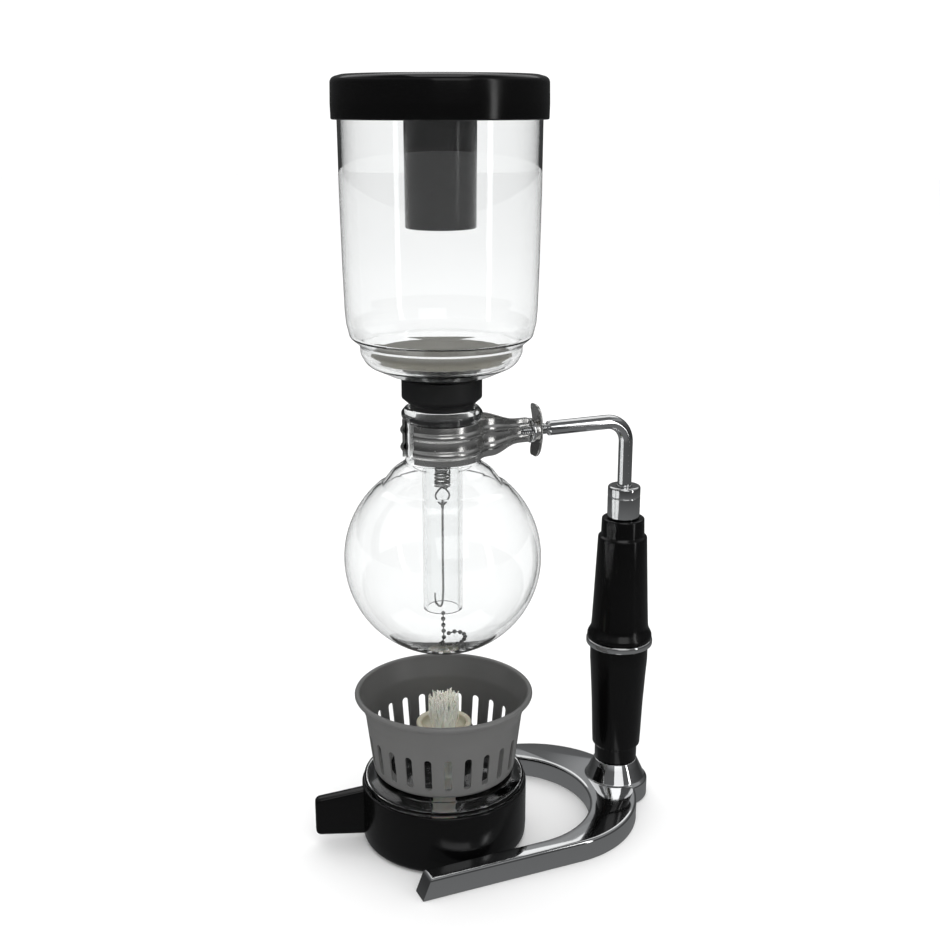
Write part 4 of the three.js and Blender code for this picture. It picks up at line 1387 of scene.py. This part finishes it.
class SIPHON_OT_hook(BuildOperator):
    """The spring, link, hooked wire and bead chain that pull the filter down"""

    bl_idname = "siphon.hook"
    bl_label = "Filter hook"

    HOOK_DEG = 94.0
    LINK_DEG = 166.5
    LINK_WIRE_R = 0.42
    PIN_R = 0.3

    def build(self, context):
        self.spring()
        self.link()
        self.wire()
        self.chain()

    def spring(self):
        """A close coil with a short lead at each end; it stretches between the bowl and the hook."""
        wire = sizes().spring_wire / MM
        pitch = sizes().spring_pitch / MM
        radius = high("filter_spring", 0) - wire
        top, foot = high("filter_spring"), low("filter_spring")
        turns = (top - foot - 2 * wire) / pitch
        steps = 22
        total = int(turns * steps)
        points = [
            (
                radius * math.cos(2 * math.pi * i / steps),
                radius * math.sin(2 * math.pi * i / steps),
                foot + wire + (top - foot - 2 * wire) * i / total,
            )
            for i in range(total + 1)
        ]
        lead = [(0.2, 0.0, top + 0.4), (1.6, 0.6, top + 0.1)]
        tail = [(1.5, -0.8, foot - 0.2), (0.2, 0.0, foot - 0.5)]
        piece = wires("coil_spring", [[*tail[::-1], *points, *lead[::-1]]], wire, 8)
        hand_over(piece, "steel", None, "filter_spring")
        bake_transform(piece)

    def link(self):
        """A wire link that is a little pointed at its top and foot."""
        top, foot = high("split_link"), low("split_link")
        middle = (top + foot) / 2
        side = math.radians(self.LINK_DEG)
        half = (top - foot) / 2 + 0.35
        loop = [(0, half), (1.9, half * 0.62), (2.95, 0.3), (2.1, -half * 0.55), (0, -half)]
        loop += [(-x, z) for x, z in loop[-2:0:-1]]
        points = [(x * math.cos(side), x * math.sin(side), middle + z) for x, z in loop]
        dense = spline_points([points[-1], *points, points[0], points[1]], 8)[8:-9]
        piece = wires("wire_link", [dense], self.LINK_WIRE_R, 8, True)
        hand_over(piece, "steel", "hook", "split_link")

    def wire(self):
        """The wire: a small eye on the link, a straight run down the stem, and the hook round its rim."""
        radius = sizes().hook_wire / MM
        eye_z = low("split_link") - 0.2
        end = low("upper_bowl")
        side = math.radians(self.HOOK_DEG)
        turned_to = math.radians(self.LINK_DEG + 90)
        eye = []
        for i in range(15):
            turn = math.radians(-60 + 300 * i / 14)
            x, z = 1.25 * math.cos(turn), 1.25 * math.sin(turn)
            eye.append((x * math.cos(turned_to), x * math.sin(turned_to), eye_z - 0.2 + z))
        under = end - radius - 0.3
        outer = STEM_R + radius + 0.35
        run = [(0, eye_z - 2.2), (0, end + 22), (0, end + 6), (1.3, under + 1.6), (3.4, under + 0.1)]
        run += [(6.4, under), (8.4, under + 0.4), (outer, under + 2.2), (outer + 0.05, end + 3.6)]
        line = [Vector((s * math.cos(side), s * math.sin(side), z)) for s, z in run]
        points = [*eye[::-1][:-1], *spline_points(line, 7)]
        piece = wires("hooked_wire", [points], radius, 8)
        hand_over(piece, "steel", "hook", "hook_wire")

    def chain(self):
        """Beads strung on short pins, hanging from the hook and lying on the globe's floor."""
        bead = sizes().bead / MM
        inner = GLOBE_R - sizes().glass_wall / MM - bead - 0.15
        centre = low("lower_bowl") + GLOBE_R
        top = high("bead_chain")

        def floor(x, y):
            return centre - math.sqrt(inner * inner - x * x - y * y)

        lying = [(-0.5, -1.5), (-3, -4), (-1, -7.5), (4, -8), (8, -5), (10, 0), (8, 4.5), (4, 5)]
        route = [(0, 0, top), (0, 0, floor(0, 0) + 9), (0, -0.5, floor(0, 0) + 4)]
        route += [(x, y, floor(x, y)) for x, y in lying]
        points = spline_points(route, 24)
        beads = self.along(points, bead * 2.75)
        deselect()
        bpy.ops.mesh.primitive_uv_sphere_add(segments=16, ring_count=10, radius=bead * MM)
        balls = repeated("balls", bpy.context.active_object, [(place, 0) for place in beads])
        pins = wires("pins", list(zip(beads, beads[1:])), self.PIN_R, 8)
        piece = join("ball_chain", [balls, pins])
        smooth(piece, 60)
        hand_over(piece, "steel", None, "bead_chain")
        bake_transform(piece)

    def along(self, points, pitch):
        """Places a pitch apart along a line."""
        places, gone = [points[0]], 0.0
        for a, b in zip(points, points[1:]):
            gone += (b - a).length
            if gone >= pitch:
                places.append(b.copy())
                gone = 0.0
        return places


# ---- burner ----


class SIPHON_OT_burner(BuildOperator):
    """The black holder with its handle, and the glass font in it"""

    bl_idname = "siphon.burner"
    bl_label = "Burner holder and font"

    HANDLE_DEG = 166.5
    HANDLE_REACH = 21.4
    HANDLE_THICK = 5.0

    def build(self, context):
        self.holder()
        self.font()

    def holder(self):
        """The black cup and its handle."""
        rim = high("lamp_holder")
        cup = turned(
            "lamp_cup",
            rounded(
                [
                    (0, 0.6),
                    (27.0, 0.6, 0.5),
                    (28.0, 0.0, 0.5),
                    (HOLDER_R - 0.4, 0.0, 5.0),
                    (HOLDER_R, 7.0, 8.0),
                    (HOLDER_R, rim, 0.7),
                    (HOLDER_R - 1.6, rim, 0.6),
                    (HOLDER_R - 1.6, 2.0, 3.0),
                    (0, 2.0),
                ],
                8,
            ),
            sizes().large_steps,
        )
        combine(cup, self.handle(rim), "UNION")
        smooth(cup, 32)
        hand_over(cup, "black", "burner", "lamp_holder")

    def handle(self, rim):
        """A flat tapered grip on edge, from a slab with its corners rounded."""
        root, end = HOLDER_R - 1.0, HOLDER_R + self.HANDLE_REACH
        outline = [(root, 3.3), (end, 4.8), (end, rim - 5.1), (root, rim - 1.7)]
        side = -self.HANDLE_THICK / 2
        piece = slab("handle", [(x, side, z) for x, z in outline], (0, self.HANDLE_THICK, 0))
        clean()
        edit(piece)
        far = (end - 0.1) * MM
        pick(piece, "edges", lambda e: all(v.co.x > far for v in e.verts) and abs(self.along_y(e)) > 0.9)
        bpy.ops.mesh.bevel(offset=2.2 * MM, segments=6, profile=0.5, affect="EDGES")
        near = (root + 0.1) * MM
        pick(piece, "edges", lambda e: abs(self.along_y(e)) < 0.1 and any(v.co.x > near for v in e.verts))
        bpy.ops.mesh.bevel(offset=1.5 * MM, segments=5, profile=0.5, affect="EDGES")
        clean()
        put(piece, rotation=(0, 0, self.HANDLE_DEG))
        return piece

    def along_y(self, edge):
        """How far an edge points along Y, from -1 to 1."""
        a, b = (v.co for v in edge.verts)
        return (b - a).normalized().y

    def font(self):
        """The flat glass font, its shoulder over the holder's rim and its neck for the wick holder."""
        wall = sizes().font_wall / MM
        foot, top = low("lamp_font"), high("lamp_font")
        side, rim = HOLDER_R - 2.0, high("lamp_holder")
        seat = low("windshield") - 0.4
        neck = 13.6
        outside = [
            (0, foot + 0.4),
            (24, foot, 20),
            (side - 0.2, foot + 0.2, 4.5),
            (side, foot + 8, 8),
            (side, rim - 0.2, 1.2),
            (side + 1.25, rim + 1.0, 1.2),
            (side + 0.9, rim + 3.2, 2.4),
            (side - 3.6, seat - 0.5, 3.0),
            (24.2, seat - 0.2, 8.0),
            (neck + 3.4, seat + 3.2, 6.0),
            (neck, seat + 6.6, 2.4),
            (neck, top, 0.5),
        ]
        outline = [*outside[:-1], (neck, top, 0.6), (neck - wall, top, 0.6)]
        inner = inside_of([*outside[:-1], (neck, top - 0.8)], wall)
        piece = turned("glass_font", rounded([*outline, *inner], 6), sizes().large_steps, 60)
        hand_over(piece, "glass", "font", "lamp_font")


class SIPHON_OT_windshield(BuildOperator):
    """The slotted grey windshield that stands on the font"""

    bl_idname = "siphon.windshield"
    bl_label = "Windshield"

    TAPER = 0.126
    TURN_DEG = 10.8
    SLOT_LOW = 38.0
    SLOT_HIGH = 53.2
    FOOT_R = 31.4
    BEAD_R = 1.25
    FLARE = 10.0

    def build(self, context):
        sheet = sizes().shield_sheet / MM
        foot, top = low("windshield"), high("windshield")
        flare = top - self.FLARE
        rim_r = high("windshield", 0) - 1.35

        def wall(z):
            return self.FOOT_R + self.TAPER * (z - foot)

        outside = [
            (24.0, foot),
            (self.FOOT_R - 0.2, foot, 2.6),
            (wall(foot + 5), foot + 5, 6),
            (wall(flare), flare, 12.0),
            (rim_r - 0.9, top - 2.8, 2.0),
        ]
        outline = [
            *outside,
            *arc(self.BEAD_R, top - self.BEAD_R, -70, 175, 12, rim_r),
            *inside_of(outside, sheet),
        ]
        piece = turned("slotted_shield", rounded(outline, 7), 240, 32)
        combine(piece, self.slots(wall), "DIFFERENCE")
        smooth(piece, 32)
        hand_over(piece, "grey", "shield", "windshield")

    def slots(self, wall):
        """Bars with round ends, one for each slot, standing across the wall."""
        half = sizes().slot_width / MM / 2
        count = sizes().slots
        outline = [
            *arc(half, self.SLOT_HIGH - half, 0, 180, 10),
            *arc(half, self.SLOT_LOW + half, 180, 360, 10),
        ]
        near = wall(self.SLOT_LOW) - 4
        master = slab("slot", [(near, y, z) for y, z in outline], (9, 0, 0))
        clean()
        return repeated("slots", master, [((0, 0, 0), self.TURN_DEG + 360 * i / count) for i in range(count)])


class SIPHON_OT_wick(BuildOperator):
    """The ceramic wick holder and the frayed cotton wick"""

    bl_idname = "siphon.wick"
    bl_label = "Wick and its holder"

    CORD_R = 5.1
    STRAND_R = 0.2
    STRAND_POINTS = 7

    def build(self, context):
        self.holder()
        self.wick()

    def holder(self):
        """The ceramic cup with its flange on the font's neck."""
        foot, top = low("wick_holder"), high("wick_holder")
        neck_top = high("lamp_font") + 0.4
        outline = [
            (5.7, foot, 0.4),
            (8.0, foot, 0.5),
            (8.1, neck_top - 0.1, 0.4),
            (12.9, neck_top, 0.5),
            (12.9, neck_top + 1.6, 0.8),
            (12.0, neck_top + 3.0, 1.4),
            (12.15, top - 2.0, 2.0),
            (12.3, top - 0.3, 0.9),
            (11.1, top, 0.8),
            (9.9, top - 0.7, 0.8),
            (9.5, neck_top + 4.4, 2.0),
            (5.9, neck_top + 2.4, 0.8),
        ]
        piece = turned("ceramic_holder", rounded([*outline, outline[0]], 6), sizes().large_steps, 45)
        hand_over(piece, "ceramic", "wick_cap", "wick_holder")

    def wick(self):
        """A braided cord with its top combed out into loose strands."""
        foot, top = low("wick"), high("wick")
        cup = high("wick_holder") - 2
        outline = [
            (0, foot),
            (4.6, foot, 0.8),
            (self.CORD_R, foot + 4, 2),
            (self.CORD_R, cup - 1, 3),
            (5.4, cup + 4, 3),
            (4.2, cup + 8, 2),
            (0, cup + 9),
        ]
        core = turned("core", rounded(outline, 5), 64, 60)
        draw = random.Random(11)
        strands = []
        for _ in range(sizes().strands):
            turn = draw.uniform(0, 2 * math.pi)
            start = 4.8 * math.sqrt(draw.random())
            place = Vector((start * math.cos(turn), start * math.sin(turn), cup - 2.5))
            ridge = top - 0.8 - 0.06 * (place.x - 1.2) ** 2 - 0.05 * (place.y + 0.6) ** 2
            count = self.STRAND_POINTS
            rise = (ridge - draw.uniform(0, 3.2) - place.z) / (count - 1)
            line = [place.copy()]
            drift = Vector((place.x * 0.09 + draw.gauss(0, 0.35), place.y * 0.09 + draw.gauss(0, 0.35), 0))
            for i in range(1, count):
                curl = 0.2 + 1.3 * (i / count) ** 1.5
                drift += Vector((draw.gauss(0, curl), draw.gauss(0, curl), 0)) * 0.6
                place = place + drift * 0.55 + Vector((0, 0, rise + draw.gauss(0, curl * 0.5)))
                side = math.hypot(place.x, place.y)
                limit = 6.6 if place.z > cup + 2 else 5.6
                if side > limit:
                    place.x *= limit / side
                    place.y *= limit / side
                place.z = min(place.z, top - 0.3)
                line.append(place.copy())
            strands.append(spline_points(line, 3))
        piece = join("cotton_wick", [core, wires("strands", strands, self.STRAND_R, 4)])
        hand_over(piece, "wick", "wick", "wick")


# ---- panel, registration and run ----

BUILDERS = (
    SIPHON_OT_stage,
    SIPHON_OT_base,
    SIPHON_OT_post,
    SIPHON_OT_rod,
    SIPHON_OT_clamp,
    SIPHON_OT_lower_bowl,
    SIPHON_OT_upper_bowl,
    SIPHON_OT_gasket,
    SIPHON_OT_lid,
    SIPHON_OT_filter,
    SIPHON_OT_hook,
    SIPHON_OT_burner,
    SIPHON_OT_windshield,
    SIPHON_OT_wick,
)


class SIPHON_PT_panel(bpy.types.Panel):
    """Lists the builders, the sizes and the colours"""

    bl_label = "Siphon Coffee Maker"
    bl_idname = "SIPHON_PT_panel"
    bl_space_type = "VIEW_3D"
    bl_region_type = "UI"
    bl_category = "Siphon"

    def draw(self, context):
        layout = self.layout
        for builder in BUILDERS:
            layout.operator(builder.bl_idname)
        for group in (context.scene.siphon_sizes, context.scene.siphon_colours):
            box = layout.box()
            for key in group.__annotations__:
                box.prop(group, key)


CLASSES = (SiphonSizes, SiphonColours, *BUILDERS, SIPHON_PT_panel)


def register():
    for each in CLASSES:
        bpy.utils.register_class(each)
    bpy.types.Scene.siphon_sizes = PointerProperty(type=SiphonSizes)
    bpy.types.Scene.siphon_colours = PointerProperty(type=SiphonColours)


def unregister():
    del bpy.types.Scene.siphon_colours
    del bpy.types.Scene.siphon_sizes
    for each in reversed(CLASSES):
        bpy.utils.unregister_class(each)


def main():
    register()
    for builder in BUILDERS:
        group, name = builder.bl_idname.split(".")
        getattr(getattr(bpy.ops, group), name)()


if __name__ == "__main__":
    main()
